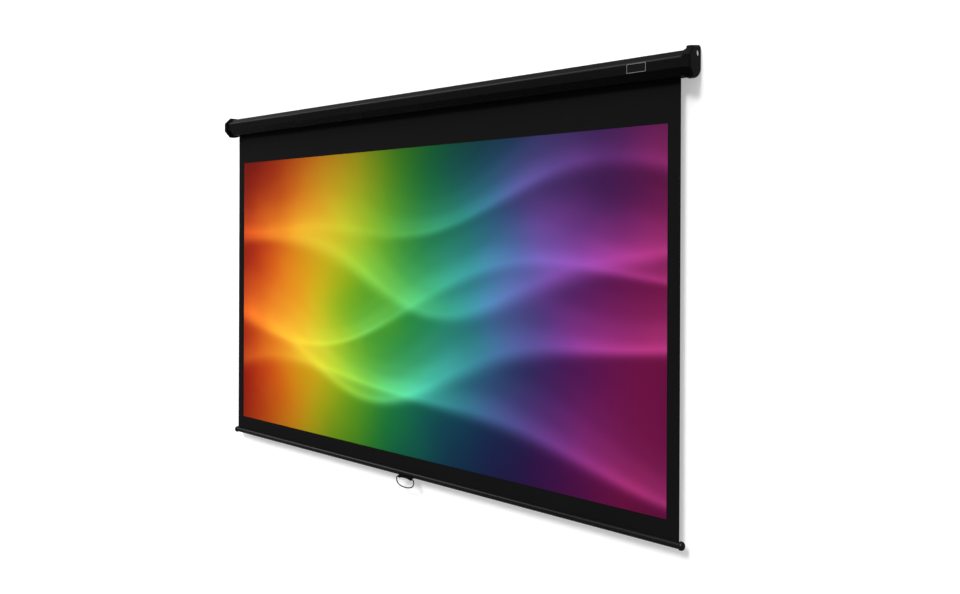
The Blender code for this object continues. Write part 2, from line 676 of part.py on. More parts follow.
def pawl_and_pin(name, side, angle):
    """One pawl with its headed pin, above the wheel for side 1 and below it for side -1."""
    pin_place = (0.0, side * PAWL_PIN_Y, side * PAWL_PIN_Z)
    pin_centre = (ROLLER_Y + pin_place[1], pin_place[2])
    axis = empty(f"pawl_{name}_axis", pin_place, roller_axis)
    pawl = solid(f"pawl_{name}", prism(pawl_outline(angle), PAWL_X - PAWL_THICK / 2, PAWL_X + PAWL_THICK / 2),
                 STEEL, axis)
    combine(pawl, "DIFFERENCE", rod(PAWL_PIN_RADIUS + RUNNING_GAP, PAWL_X - PAWL_THICK, PAWL_X + PAWL_THICK,
                                    16, pin_centre))
    head_x = PAWL_X - PAWL_THICK / 2 - GAP
    solid(f"pawl_pin_{name}", turned_solid([
        (head_x - PAWL_PIN_HEAD_TALL, PAWL_PIN_HEAD_RADIUS), (head_x, PAWL_PIN_HEAD_RADIUS),
        (head_x, PAWL_PIN_RADIUS), (HEAD_X + PAWL_PIN_SEAT, PAWL_PIN_RADIUS)], 16),
        STEEL, roller_axis, pin_place)
    combine(head_plug, "DIFFERENCE", rod(PAWL_PIN_RADIUS + GAP, HEAD_X - OVERCUT, HEAD_X + PAWL_PIN_SEAT + GAP,
                                         16, pin_centre))


pawl_and_pin("upper", 1, 0.0)
pawl_and_pin("lower", -1, math.pi + PAWL_HANG_ANGLE)


# Weight bar: a round tube with a slot along its top, which the hem and its rod are locked into

screen_drop = empty("screen_drop", (0.0, FABRIC_Y, BAR_Z))


def bar_outline():
    """The tube's section, from one edge of the slot round to the other and back inside."""
    inner = BAR_RADIUS - BAR_WALL
    outer_edge = math.degrees(math.asin(BAR_SLOT / 2 / BAR_RADIUS))
    inner_edge = math.degrees(math.asin(BAR_SLOT / 2 / inner))
    outside = arc((0.0, 0.0), BAR_RADIUS, 90 + outer_edge, 450 - outer_edge, 32)
    return outside + arc((0.0, 0.0), inner, 450 - inner_edge, 90 + inner_edge, 32)


bar = solid("weight_bar", prism(bar_outline(), -FABRIC_HALF, FABRIC_HALF), CASE_PAINT, screen_drop)

hem_centre = (0.0, HEM_LIFT)
solid("hem_rod", rod(HEM_ROD_RADIUS, -HEM_HALF, HEM_HALF, 12, hem_centre), NYLON, screen_drop)
pocket_outer = circle(HEM_POCKET_RADIUS, 16, hem_centre)
pocket_inner = circle(HEM_ROD_RADIUS + GAP, 16, hem_centre)
solid("hem_pocket", loft([(-HEM_HALF, pocket_inner), (-HEM_HALF, pocket_outer),
                          (HEM_HALF, pocket_outer), (HEM_HALF, pocket_inner)], closed_ends=False),
      MASKING, screen_drop)


def bar_cap(name, side):
    """A bulbous cap whose insert fills the bar's end, notched for the fabric's edge."""
    face = FABRIC_HALF + GAP
    insert_radius = BAR_RADIUS - BAR_WALL - GAP
    far = face + BAR_CAP_LENGTH
    round_start = face + BAR_CAP_ROUND_START
    profile = [(face - BAR_CAP_INSERT, insert_radius), (face, insert_radius), (face, BAR_RADIUS + BAR_CAP_LIP),
               (face + BAR_CAP_SHOULDER, BAR_CAP_RADIUS)]
    for a in map(math.radians, (0, 22.5, 45, 65, 80)):
        profile.append((round_start + (far - round_start) * math.sin(a),
                        BAR_CAP_RADIUS * math.cos(a) ** BAR_CAP_ROUND_POWER))
    profile.append((far, BAR_CAP_RADIUS * BAR_CAP_TIP_SHARE))
    cap = solid(name, turned_solid([(side * x, radius) for x, radius in profile], 28), CAP_PLASTIC, screen_drop)
    ends = sorted((side * (face - BAR_CAP_INSERT - OVERCUT), side * face))
    combine(cap, "DIFFERENCE", block((ends[0], FABRIC_Y - EDGE_NOTCH_HALF, BAR_Z + EDGE_NOTCH_FLOOR),
                                     (ends[1], FABRIC_Y + EDGE_NOTCH_HALF, BAR_Z + BAR_RADIUS)))


bar_cap("bar_cap_left", -1)
bar_cap("bar_cap_right", 1)


# Handle bracket: a saddle that hugs the bar, with an arched block that the bail turns in

saddle = arc((0.0, 0.0), SADDLE_INNER, SADDLE_END, SADDLE_START, 14)
saddle += arc((0.0, 0.0), SADDLE_OUTER, SADDLE_START, SADDLE_END, 14)
bracket = solid("handle_bracket", prism(saddle, HANDLE_X - BRACKET_HALF, HANDLE_X + BRACKET_HALF),
                CAP_PLASTIC, screen_drop)
combine(bracket, "UNION", block(
    (HANDLE_X - BRACKET_HALF, PIVOT_Y - BLOCK_HALF, BAR_Z + BLOCK_BOTTOM),
    (HANDLE_X + BRACKET_HALF, PIVOT_Y + BLOCK_HALF, BAR_Z + BLOCK_TOP)))
combine(bracket, "DIFFERENCE", rod(SADDLE_INNER, HANDLE_X - 2 * BRACKET_HALF, HANDLE_X + 2 * BRACKET_HALF,
                                   96, (FABRIC_Y, BAR_Z)))


def arch_cutter():
    """The space under the arch: a half ellipse in the XZ plane, carried through the block along Y."""
    shape = bmesh.new()
    angles = [math.pi * i / 16 for i in range(17)]
    floor = BAR_Z + BLOCK_BOTTOM
    points = [(HANDLE_X + ARCH_HALF * math.cos(a), floor + ARCH_RISE * math.sin(a)) for a in angles]
    points += [(HANDLE_X - ARCH_HALF, floor - OVERCUT), (HANDLE_X + ARCH_HALF, floor - OVERCUT)]
    front = [shape.verts.new((x, PIVOT_Y - 2 * BLOCK_HALF, z)) for x, z in points]
    back = [shape.verts.new((x, PIVOT_Y + 2 * BLOCK_HALF, z)) for x, z in points]
    for i in range(len(points)):
        j = (i + 1) % len(points)
        shape.faces.new((front[i], front[j], back[j], back[i]))
    shape.faces.new(front)
    shape.faces.new(back)
    return shape


combine(bracket, "DIFFERENCE", arch_cutter())
for side in (-1, 1):
    combine(bracket, "DIFFERENCE", rod(BAIL_WIRE + RUNNING_GAP, HANDLE_X + side * BAIL_SEAT,
                                       HANDLE_X + side * (BRACKET_HALF + OVERCUT), 16, (PIVOT_Y, PIVOT_Z)))

for end_name, side in (("left", -1), ("right", 1)):
    screw_x = HANDLE_X + side * BRACKET_SCREW_X
    for piece in (bracket, bar):
        combine(piece, "DIFFERENCE", upright_rod(SCREW_RADIUS + GAP, screw_x, FABRIC_Y,
                                                 BAR_Z - SADDLE_OUTER - OVERCUT,
                                                 BAR_Z - BAR_RADIUS + BAR_WALL + OVERCUT))
    place(f"bracket_screw_{end_name}", screw_mesh, BLACK_SCREW, screen_drop,
          (screw_x, 0.0, -SADDLE_OUTER - GAP), HEAD_DOWN)


# Bail handle: one bent wire whose two ends turn in the bracket, hanging straight down

handle_axis = empty("handle_axis", (HANDLE_X, -PIVOT_FORWARD, -PIVOT_BELOW), screen_drop)


def bail_half():
    """The right half of the bail, from its end in the bracket to the bottom: a shoulder, then a squared ellipse."""
    points = [(BAIL_END, 0.0)]
    for i in range(SHOULDER_STEPS):
        a = math.pi / 2 * i / SHOULDER_STEPS
        points.append((SHOULDER_X + (BAIL_HALF_WIDTH - SHOULDER_X) * math.sin(a),
                       -SHOULDER_DROP * (1 - math.cos(a))))
    for i in range(LOOP_STEPS + 1):
        a = math.pi / 2 * i / LOOP_STEPS
        points.append((BAIL_HALF_WIDTH * max(math.cos(a), 0.0) ** (2 / LOOP_POWER),
                       -SHOULDER_DROP - (BAIL_DROP - SHOULDER_DROP) * math.sin(a) ** (2 / LOOP_POWER)))
    return points


right_half = bail_half()
bail_path = [(-x, 0.0, z) for x, z in right_half[:-1]] + [(x, 0.0, z) for x, z in reversed(right_half)]
wire("handle_bail", bail_path, BAIL_WIRE, DARK_WIRE, handle_axis)
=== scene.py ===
"""The looks of a wall-hung pull-down projector screen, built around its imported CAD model.

Metres, in the CAD frame: +X runs to the right along the case, +Y into the wall and +Z up. The wall's plane is
Y = 0.
"""

import itertools
import math

import bpy
import numpy as np
from mathutils import Matrix


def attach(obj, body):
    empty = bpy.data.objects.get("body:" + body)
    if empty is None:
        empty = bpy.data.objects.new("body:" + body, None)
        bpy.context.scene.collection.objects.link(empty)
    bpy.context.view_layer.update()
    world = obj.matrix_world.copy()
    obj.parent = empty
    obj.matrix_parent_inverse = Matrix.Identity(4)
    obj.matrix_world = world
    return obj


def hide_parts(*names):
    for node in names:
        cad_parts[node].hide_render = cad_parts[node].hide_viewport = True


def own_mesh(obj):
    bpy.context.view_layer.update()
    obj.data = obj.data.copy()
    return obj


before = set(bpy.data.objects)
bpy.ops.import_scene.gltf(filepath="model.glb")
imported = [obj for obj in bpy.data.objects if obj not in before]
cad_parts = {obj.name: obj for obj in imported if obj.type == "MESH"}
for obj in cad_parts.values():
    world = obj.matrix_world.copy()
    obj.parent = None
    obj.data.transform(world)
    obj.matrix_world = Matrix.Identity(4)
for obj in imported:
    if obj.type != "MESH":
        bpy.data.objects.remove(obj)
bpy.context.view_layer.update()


# Camera: an almost level one, to the right of the screen and close to it, turned left. It is shifted down,
# not tilted, so that upright edges stay upright. It is fitted to the corners of the picture and the case.

EYE = (2.09881, -2.28558, -0.53783)
TURN_LEFT = 0.65834
TILT = -0.00148
ROLL = 0.00373
LENS = 28.43
SENSOR = 36.0
SHIFT_UP = -0.0610
NEAREST_SEEN = 0.01


def placed(name, data):
    """A new object in the scene, at the origin."""
    made = bpy.data.objects.new(name, data)
    bpy.context.scene.collection.objects.link(made)
    return made


def standing(right, up, back, place=(0.0, 0.0, 0.0)):
    """The transform of something at a place, from the directions that its own X, Y and Z point in."""
    return Matrix([*np.column_stack([right, up, back, place]).tolist(), [0.0, 0.0, 0.0, 1.0]])


looking = np.array([
    -math.sin(TURN_LEFT) * math.cos(TILT), math.cos(TURN_LEFT) * math.cos(TILT), math.sin(TILT)])
level = np.array([math.cos(TURN_LEFT), math.sin(TURN_LEFT), 0.0])
upright = np.cross(level, looking)
camera_right = level * math.cos(ROLL) + upright * math.sin(ROLL)
camera_up = upright * math.cos(ROLL) - level * math.sin(ROLL)
camera = placed("camera", bpy.data.cameras.new("camera"))
camera.matrix_world = standing(camera_right, camera_up, -looking, EYE)
camera.data.lens = LENS
camera.data.sensor_width = SENSOR
camera.data.shift_y = SHIFT_UP
camera.data.clip_start = NEAREST_SEEN
bpy.context.scene.camera = camera


# Case tube: one roll-formed steel octagon, 79 mm across its flats, with bent corners and a lipped slot along
# its underside that the fabric leaves through. It has a satin black powder coat with a faint orange peel.

CASE_FLATS = 0.079
CASE_WALL = 0.0012
CASE_BEND = 0.0025
CASE_CENTRE_Y = -0.047
CASE_END_X = 1.1832
SLOT_FRONT_Y = -0.0500
SLOT_REAR_Y = -0.0320
SLOT_LIP = 0.0040
LIP_BEND = 0.0009
BEND_STEPS = 6
BEND_MARGIN = 0.0004
LONG_SPANS = 24
SHARP_FROM = math.radians(32)
# Half an octagon's side, as a share of half its width across the flats
HALF_SIDE = math.tan(math.radians(22.5))
COAT_DEEP = (0.0030, 0.0030, 0.0034)
COAT_PALE = (0.0050, 0.0050, 0.0056)
COAT_SPECK = (0.0085, 0.0085, 0.0090)
# The colour of a painted highlight along the case's upper bends, standing in for the lamps' highlight on
# those ridges
COAT_PAINTED_HIGHLIGHT = (0.028, 0.028, 0.030)
CASE_GLOSS = 0.05
# How far from the centre line the painted highlight on the upper bends starts and where it is full, out where
# the corners are
HIGHLIGHT_PAINT_FROM = 0.0412
HIGHLIGHT_PAINT_TO = 0.0420


def show(name, points, faces, finishes, face_finish=None, uv=None):
    """A piece from arrays of points and of faces, turned so that its faces point outwards.

    Each face is split into triangles at its first point. The sum of the triple products of their corners is
    six times the volume inside. It is negative where faces point inwards, and then each face is reversed.
    """
    points = np.asarray(points, float).reshape(-1, 3)
    middle = points.mean(axis=0)
    volume = 0.0
    for block in faces:
        corner = points[block] - middle
        for i in range(1, block.shape[1] - 1):
            volume += np.sum(np.cross(corner[:, i], corner[:, i + 1]) * corner[:, 0])
    if volume < 0:
        faces = [block[:, ::-1] for block in faces]
    mesh = bpy.data.meshes.new(name)
    mesh.from_pydata(points.tolist(), [], [row for block in faces for row in block.tolist()])
    for finish in finishes:
        mesh.materials.append(finish)
    if face_finish is not None:
        mesh.polygons.foreach_set("material_index", np.asarray(face_finish, np.int32))
    if uv is not None:
        corners = np.empty(len(mesh.loops), np.int32)
        mesh.loops.foreach_get("vertex_index", corners)
        layer = mesh.uv_layers.new(name="surface")
        layer.data.foreach_set("uv", uv[corners].astype(np.float32).ravel())
    mesh.shade_smooth()
    mesh.set_sharp_from_angle(angle=SHARP_FROM)
    return placed(name, mesh)


def grid_faces(rings, count, closed_round=True, closed_along=False, first=0):
    """Four-sided faces between points j and j + 1 of rings i and i + 1. Points are numbered ring by ring."""
    i = np.arange(rings if closed_along else rings - 1)
    j = np.arange(count if closed_round else count - 1)
    i, j = [numbers.ravel() for numbers in np.meshgrid(i, j, indexing="ij")]
    this, following = i * count, (i + 1) % rings * count
    next_j = (j + 1) % count
    return first + np.stack([this + j, this + next_j, following + next_j, following + j], axis=1)


def end_faces(rings, count):
    """One face over the first ring and one over the last."""
    ring = np.arange(count)[None, :]
    return [ring[:, ::-1], (rings - 1) * count + ring]


def bent_path(corners, radius):
    """Points and left-hand normals along a line of straight runs, with a round bend at each inner corner.

    A bend is the arc that touches both runs. A point just outside each end of an arc keeps the runs flat.
    """
    points, normals = [], []

    def left_of(way):
        """A direction turned a quarter to the left."""
        return np.array([-way[1], way[0]])

    def put(place, normal):
        """Adds a point and its normal."""
        points.append(place)
        normals.append(normal)

    corners = [np.array(corner, float) for corner in corners]
    ways = [(b - a) / np.linalg.norm(b - a) for a, b in zip(corners, corners[1:])]
    put(corners[0], left_of(ways[0]))
    for corner, way_in, way_out in zip(corners[1:-1], ways, ways[1:]):
        turn = math.atan2(way_in[0] * way_out[1] - way_in[1] * way_out[0], way_in @ way_out)
        back = radius * math.tan(abs(turn) / 2)
        side = math.copysign(1.0, turn)
        centre = corner - way_in * back + left_of(way_in) * side * radius
        put(corner - way_in * (back + BEND_MARGIN), left_of(way_in))
        for step in range(BEND_STEPS + 1):
            angle = turn * step / BEND_STEPS
            normal = left_of(way_in) * math.cos(angle) - way_in * math.sin(angle)
            put(centre - normal * side * radius, normal)
        put(corner + way_out * (back + BEND_MARGIN), left_of(way_out))
    put(corners[-1], left_of(ways[-1]))
    return np.array(points), np.array(normals)


def even_levels(half, spans=LONG_SPANS):
    """Evenly spaced places along X, from one end of a long piece to the other."""
    return np.linspace(-half, half, spans + 1)


def drawn_wall(name, points, normals, thickness, levels, finish, shift=None):
    """A sheet-metal or cloth section drawn out along X.

    The section runs along its middle line on one side and back on the other, half the thickness away from it.
    Each end is closed between the two sides. shift gives how far each (x, y, z) is moved along Y.
    """
    outline = np.concatenate([points + normals * thickness / 2, (points - normals * thickness / 2)[::-1]])
    count = len(outline)
    grid = np.empty((len(levels), count, 3))
    grid[:, :, 0] = np.asarray(levels)[:, None]
    grid[:, :, 1:] = outline[None, :, :]
    if shift is not None:
        grid[:, :, 1] += shift(grid[:, :, 0], grid[:, :, 2])
    i = np.arange(count // 2 - 1)
    end = np.stack([i, i + 1, count - 2 - i, count - 1 - i], axis=1)
    last = (len(levels) - 1) * count
    return show(name, grid, [grid_faces(len(levels), count), end[:, ::-1], end + last], [finish])


class Nodes:
    """The nodes of a material or of the world, each made with its inputs set or linked."""

    def __init__(self, tree):
        self.tree = tree

    def node(self, kind, **settings):
        """A node, with its settings and inputs by name: in0 is its first input, and _ stands for a space."""
        made = self.tree.nodes.new(kind)
        for name, value in settings.items():
            if hasattr(made, name):
                setattr(made, name, value)
            else:
                self.feed(made, int(name[2:]) if name.startswith("in") else name.replace("_", " "), value)
        return made

    def feed(self, made, name, value):
        """Sets an input, or links it to a socket."""
        if isinstance(value, bpy.types.NodeSocket):
            self.tree.links.new(value, made.inputs[name])
        else:
            made.inputs[name].default_value = value

    def math(self, operation, first, second=0.0, third=0.0):
        """One step of arithmetic."""
        return self.node("ShaderNodeMath", operation=operation, in0=first, in1=second, in2=third).outputs[0]

    def squares(self, first, second):
        """One number squared plus the other squared."""
        return self.math("ADD", self.math("MULTIPLY", first, first), self.math("MULTIPLY", second, second))

    def parts(self, vector):
        """The X, Y and Z of a vector, by name."""
        return self.node("ShaderNodeSeparateXYZ", Vector=vector).outputs

    def between(self, value, low, high, span=(0.0, 1.0)):
        """A number carried from its span to the one from low to high, and kept within it."""
        return self.node("ShaderNodeMapRange", Value=value, From_Min=span[0], From_Max=span[1], To_Min=low,
                         To_Max=high).outputs[0]

    def mixed(self, share, first, second, way="MIX"):
        """Two colours mixed by a share."""
        made = self.node("ShaderNodeMix", data_type="RGBA", blend_type=way, in0=share)
        for number, colour in ((6, first), (7, second)):
            self.feed(made, number, colour if isinstance(colour, bpy.types.NodeSocket) else (*colour, 1.0))
        return made.outputs[2]


class Finish(Nodes):
    """A procedural finish: a Principled shader with nodes that read the piece's own coordinates."""

    def __init__(self, name, **sockets):
        self.material = bpy.data.materials.new(name)
        self.material.use_nodes = True
        super().__init__(self.material.node_tree)
        self.shader = self.tree.nodes["Principled BSDF"]
        for socket, value in sockets.items():
            self.shader.inputs[socket.replace("_", " ")].default_value = value
        self.place = self.node("ShaderNodeTexCoord").outputs["Object"]

    def noise(self, scale, detail=2.0, roughness=0.5, stretch=(1.0, 1.0, 1.0)):
        """Soft random spots, so many to the metre, and more along an axis whose stretch is above 1."""
        place = self.node("ShaderNodeMapping", Vector=self.place, Scale=stretch).outputs[0]
        return self.node("ShaderNodeTexNoise", Vector=place, Scale=scale, Detail=detail,
                         Roughness=roughness).outputs["Fac"]

    def relief(self, height, depth, strength, under=None):
        """A bump of a given depth in metres, on top of another one."""
        made = self.node("ShaderNodeBump", Height=height, Strength=strength, Distance=depth)
        if under is not None:
            self.feed(made, "Normal", under)
        return made.outputs[0]

    def done(self, colour, roughness, normal=None):
        """Links what varies to the shader, and gives the material."""
        self.feed(self.shader, "Base Color", colour)
        self.feed(self.shader, "Roughness", roughness)
        if normal is not None:
            self.feed(self.shader, "Normal", normal)
        return self.material


def powder_coat(name, gloss, tube_centre=None):
    """Satin black powder coat: orange peel about 3 mm across, a finer grain, pale specks, a drifting gloss.

    Where a tube's centre (y, z) is given, a painted highlight lightens the coat far from that centre, along
    the bends on the tube's upper half.
    """
    coat = Finish(name, Specular_IOR_Level=gloss)
    drift = coat.noise(9.0, detail=3.0, stretch=(0.3, 1.0, 1.0))
    peel = coat.noise(330.0, detail=1.5)
    grain = coat.noise(1500.0)
    speck = coat.between(coat.noise(700.0, detail=1.0), 0.0, 1.0, span=(0.66, 0.78))
    colour = coat.mixed(speck, coat.mixed(drift, COAT_DEEP, COAT_PALE), COAT_SPECK)
    # Painted highlight: the upper bends are coloured lighter, standing in for the lamps' highlight along the
    # ridges
    if tube_centre is not None:
        apart = coat.parts(coat.place)
        across = coat.math("SUBTRACT", apart["Y"], tube_centre[0])
        up = coat.math("MAXIMUM", coat.math("SUBTRACT", apart["Z"], tube_centre[1]), 0.0)
        away = coat.math("SQRT", coat.squares(across, up))
        painted_highlight = coat.between(away, 0.0, 1.0, span=(HIGHLIGHT_PAINT_FROM, HIGHLIGHT_PAINT_TO))
        painted_highlight = coat.math("MULTIPLY", painted_highlight, coat.between(drift, 0.5, 1.0, span=(0.3, 0.6)))
        colour = coat.mixed(painted_highlight, colour, COAT_PAINTED_HIGHLIGHT)
    roughness = coat.between(drift, 0.23, 0.32, span=(0.25, 0.75))
    under = coat.relief(peel, depth=0.00010, strength=0.55)
    return coat.done(colour, roughness, coat.relief(grain, depth=0.00002, strength=0.5, under=under))


case_coat = powder_coat("satin_powder_coat", CASE_GLOSS, (CASE_CENTRE_Y, 0.0))
case_mid = CASE_FLATS / 2 - CASE_WALL / 2
case_side = case_mid * HALF_SIDE
rear_lip_y = SLOT_REAR_Y + CASE_WALL / 2 - CASE_CENTRE_Y
front_lip_y = SLOT_FRONT_Y - CASE_WALL / 2 - CASE_CENTRE_Y
lip_top = -CASE_FLATS / 2 + SLOT_LIP
case_corners = [
    (rear_lip_y, lip_top), (rear_lip_y, -case_mid), (case_side, -case_mid), (case_mid, -case_side),
    (case_mid, case_side), (case_side, case_mid), (-case_side, case_mid), (-case_mid, case_side),
    (-case_mid, -case_side), (-case_side, -case_mid), (front_lip_y, -case_mid), (front_lip_y, lip_top)]
lip_points, lip_normals = bent_path(case_corners[:3], LIP_BEND)
shell_points, shell_normals = bent_path(case_corners[1:-1], CASE_BEND - CASE_WALL / 2)
far_points, far_normals = bent_path(case_corners[-3:], LIP_BEND)
case_points = np.concatenate([lip_points[:-1], shell_points[1:-1], far_points[1:]]) + (CASE_CENTRE_Y, 0.0)
case_normals = np.concatenate([lip_normals[:-1], shell_normals[1:-1], far_normals[1:]])
case_shell = drawn_wall("case_shell", case_points, case_normals, CASE_WALL, even_levels(CASE_END_X),
                        case_coat)
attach(case_shell, "case")
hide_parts("case_tube")


# End caps: moulded black cups that close the case. Each has an octagonal flange with a wide rounded edge, an
# ear at its top back with a round hanging hole, a collar round the case, and a window for the hook behind it.

ENDS = (("left", -1), ("right", 1))
HALF_LENGTH = 1.200
CAP_FLATS = 0.094
CAP_DEPTH = 0.022
CAP_WALL = 0.0025
CAP_EDGE = 0.009
CAP_EDGE_POINTS = 10
CAP_CORNER = 0.0016
LEAST_CORNER = 0.0005
CAP_LIP = 0.0004
WEB_INSET = 0.0005
WEB_THICK = 0.003
EAR_TOP = {"right": 0.0620, "left": 0.0480}
EAR_RADIUS = 0.011
EAR_POINTS = 13
EAR_FRONT_Y = -0.068
EAR_FRONT_TOP = 0.0505
LOWER_BACK = (0.050, 0.034)
LOWER_BACK_POWER = 1.75
LOWER_BACK_POINTS = 25
COLLAR_HALF = 0.0422
COLLAR_BORE_HALF = 0.0398
COLLAR_STOP_HALF = 0.0375
COLLAR_START_X = 1.170
COLLAR_FLOOR_X = 1.1835
COLLAR_END_X = 1.186
COLLAR_CORNER = 0.0008
HOLE = np.array((-0.030, 0.032))
HOLE_RADIUS = 0.009
HOLE_CHAMFER = 0.0006
# How far the face's ring keeps from the hole's centre, and the share by which rings further out keep further
HOLE_CLEAR = 0.0104
HOLE_SPREAD = 0.05
WINDOW_FROM_X = 1.1815
WINDOW_TO_X = 1.191
WINDOW_FRONT_Y = -0.004
WINDOW_PAST_Y = 0.001
WINDOW_LOW = 0.016
WINDOW_BELOW_EAR = 0.0120
ROLLER_Y = -0.0598
ROLLER_CENTRE = np.array((ROLLER_Y, 0.0))
BOSS_RADIUS = 0.011
BOSS_START_X = 1.1875
BOSS_STEPS = 64
# The boss's points are turned a little, so that none lies square to a side of the spindle's slot
BOSS_TURN = 0.011
BUSH_BORE = 0.0068
SPINDLE_SLOT = (0.0013, 0.0033)
# A narrow band beside an edge, which keeps the flat next to it evenly shaded
FACE_MARGIN = 0.0006
# How far in the middle of a small rounded corner lies, as a share of its radius
ROUNDED = 0.3
RECTANGLE = np.array([(-1, -1), (1, -1), (1, 1), (-1, 1)])
PLASTIC_DEEP = (0.0036, 0.0036, 0.0040)
PLASTIC_PALE = (0.0058, 0.0058, 0.0063)
CAP_GLOSS = 0.035
CAP_ROUGHNESS = (0.25, 0.36)


def circle(turns):
    """Points on a circle of radius 1: the cosine and the sine of each turn."""
    return np.stack([np.cos(turns), np.sin(turns)], axis=1)


def turns_round(count):
    """Even turns once round, without the last, which is the first again."""
    return np.linspace(0, 2 * math.pi, count, endpoint=False)


# Directions from the case's centre line, in degrees, closer together where they pass the ear's front step
SPOKES = np.radians(np.concatenate([
    np.arange(0, 105, 0.75), np.arange(105, 117, 0.15), np.arange(117, 360, 0.75)]))
SPOKE_WAYS = circle(SPOKES)


def moulded_black(name, gloss, roughness):
    """Black plastic with a fine spark-eroded grain, whose tone and gloss drift a little."""
    moulding = Finish(name, Specular_IOR_Level=gloss)
    drift = moulding.noise(22.0, detail=3.0)
    grain = moulding.noise(1100.0, roughness=0.6)
    colour = moulding.mixed(drift, PLASTIC_DEEP, PLASTIC_PALE)
    roughness = moulding.between(drift, *roughness, span=(0.25, 0.75))
    return moulding.done(colour, roughness, moulding.relief(grain, depth=0.00005, strength=0.6))


def flange_corners(end_name):
    """The flange's outline, anticlockwise as seen from the right end: an octagon with an ear at its top back.

    The ear is an arc at the back that runs on into its top, which falls towards the front. On the right it
    ends there in an upright step on the octagon's upper front edge. On the left it runs down to the octagon's
    own corner. The lower back is a quarter of a stretched circle, its sine and cosine raised to a power.
    """
    half = CAP_FLATS / 2
    side = half * HALF_SIDE
    top = EAR_TOP[end_name]
    if end_name == "right":
        top_front = [(EAR_FRONT_Y, EAR_FRONT_TOP), (EAR_FRONT_Y, EAR_FRONT_Y + CAP_FLATS + side)]
    else:
        top_front = [(-half - side, half)]
    lean = math.atan2(top - top_front[0][1], -EAR_RADIUS - top_front[0][0])
    back = EAR_RADIUS * circle(np.linspace(0.0, math.pi / 2 + lean, EAR_POINTS))
    back += (-EAR_RADIUS, top - EAR_RADIUS)
    front = [*top_front, (-CAP_FLATS, side), (-CAP_FLATS, -side), (-half - side, -half)]
    turn = np.linspace(0.0, math.pi / 2, LOWER_BACK_POINTS)
    along, down = np.sin(turn) ** (2 / LOWER_BACK_POWER), np.cos(turn) ** (2 / LOWER_BACK_POWER)
    lower_back = np.stack([LOWER_BACK[0] * (along - 1), -half + LOWER_BACK[1] * (1 - down)], axis=1)
    return np.concatenate([back, front, lower_back])


def moved_in(corners, distance):
    """An outline with each edge moved in by a distance, and each corner where its moved edges now cross."""
    runs = np.roll(corners, -1, axis=0) - corners
    out = np.stack([runs[:, 1], -runs[:, 0]], axis=1) / np.linalg.norm(runs, axis=1)[:, None]
    reach = np.sum(out * corners, axis=1) - distance
    last_out, last_reach = np.roll(out, 1, axis=0), np.roll(reach, 1)
    across = last_out[:, 0] * out[:, 1] - last_out[:, 1] * out[:, 0]
    y = (last_reach * out[:, 1] - reach * last_out[:, 1]) / across
    z = (last_out[:, 0] * reach - out[:, 0] * last_reach) / across
    return np.stack([y, z], axis=1)


def bent(corners, radius, steps=7):
    """An outline with each corner rounded by a parabola that meets its two edges where an arc would."""
    ways = np.roll(corners, -1, axis=0) - corners
    ways /= np.linalg.norm(ways, axis=1)[:, None]
    last = np.roll(ways, 1, axis=0)
    turn = np.arctan2(last[:, 0] * ways[:, 1] - last[:, 1] * ways[:, 0], np.sum(last * ways, axis=1))
    back = (radius * np.tan(abs(turn) / 2))[:, None, None]
    t = np.linspace(0, 1, steps)[None, :, None]
    curve = corners[:, None, :] - last[:, None, :] * back * (1 - t) ** 2 + ways[:, None, :] * back * t ** 2
    return curve.reshape(-1, 2)


def along_spokes(outline):
    """Where the spokes from the case's centre line cross an outline.

    A spoke in direction w crosses the edge from p to q at the distance (p x (q - p)) / (w x (q - p)).
    """
    place = outline - (CASE_CENTRE_Y, 0.0)
    turn = np.mod(np.arctan2(place[:, 1], place[:, 0]), 2 * math.pi)
    first = np.argmin(turn)
    place, turn = np.roll(place, -first, axis=0), np.roll(turn, -first)
    edge = np.searchsorted(turn, SPOKES, side="right") - 1
    start, run = place[edge], (np.roll(place, -1, axis=0) - place)[edge]
    far = start[:, 0] * run[:, 1] - start[:, 1] * run[:, 0]
    far /= SPOKE_WAYS[:, 0] * run[:, 1] - SPOKE_WAYS[:, 1] * run[:, 0]
    return far[:, None] * SPOKE_WAYS + (CASE_CENTRE_Y, 0.0)


def outline_ring(corners, ways, radius):
    """For each direction, the corner that lies furthest that way, moved out by the corners' own radius."""
    return corners[np.argmax(corners @ ways.T, axis=0)] + radius * ways


def octagon_corners(half):
    """The corners of an octagon about the case's centre line, anticlockwise."""
    side = half * HALF_SIDE
    quarter = [(half, -side), (half, side), (side, half), (-side, half)]
    return np.array(quarter + [(-y, -z) for y, z in quarter]) + (CASE_CENTRE_Y, 0.0)


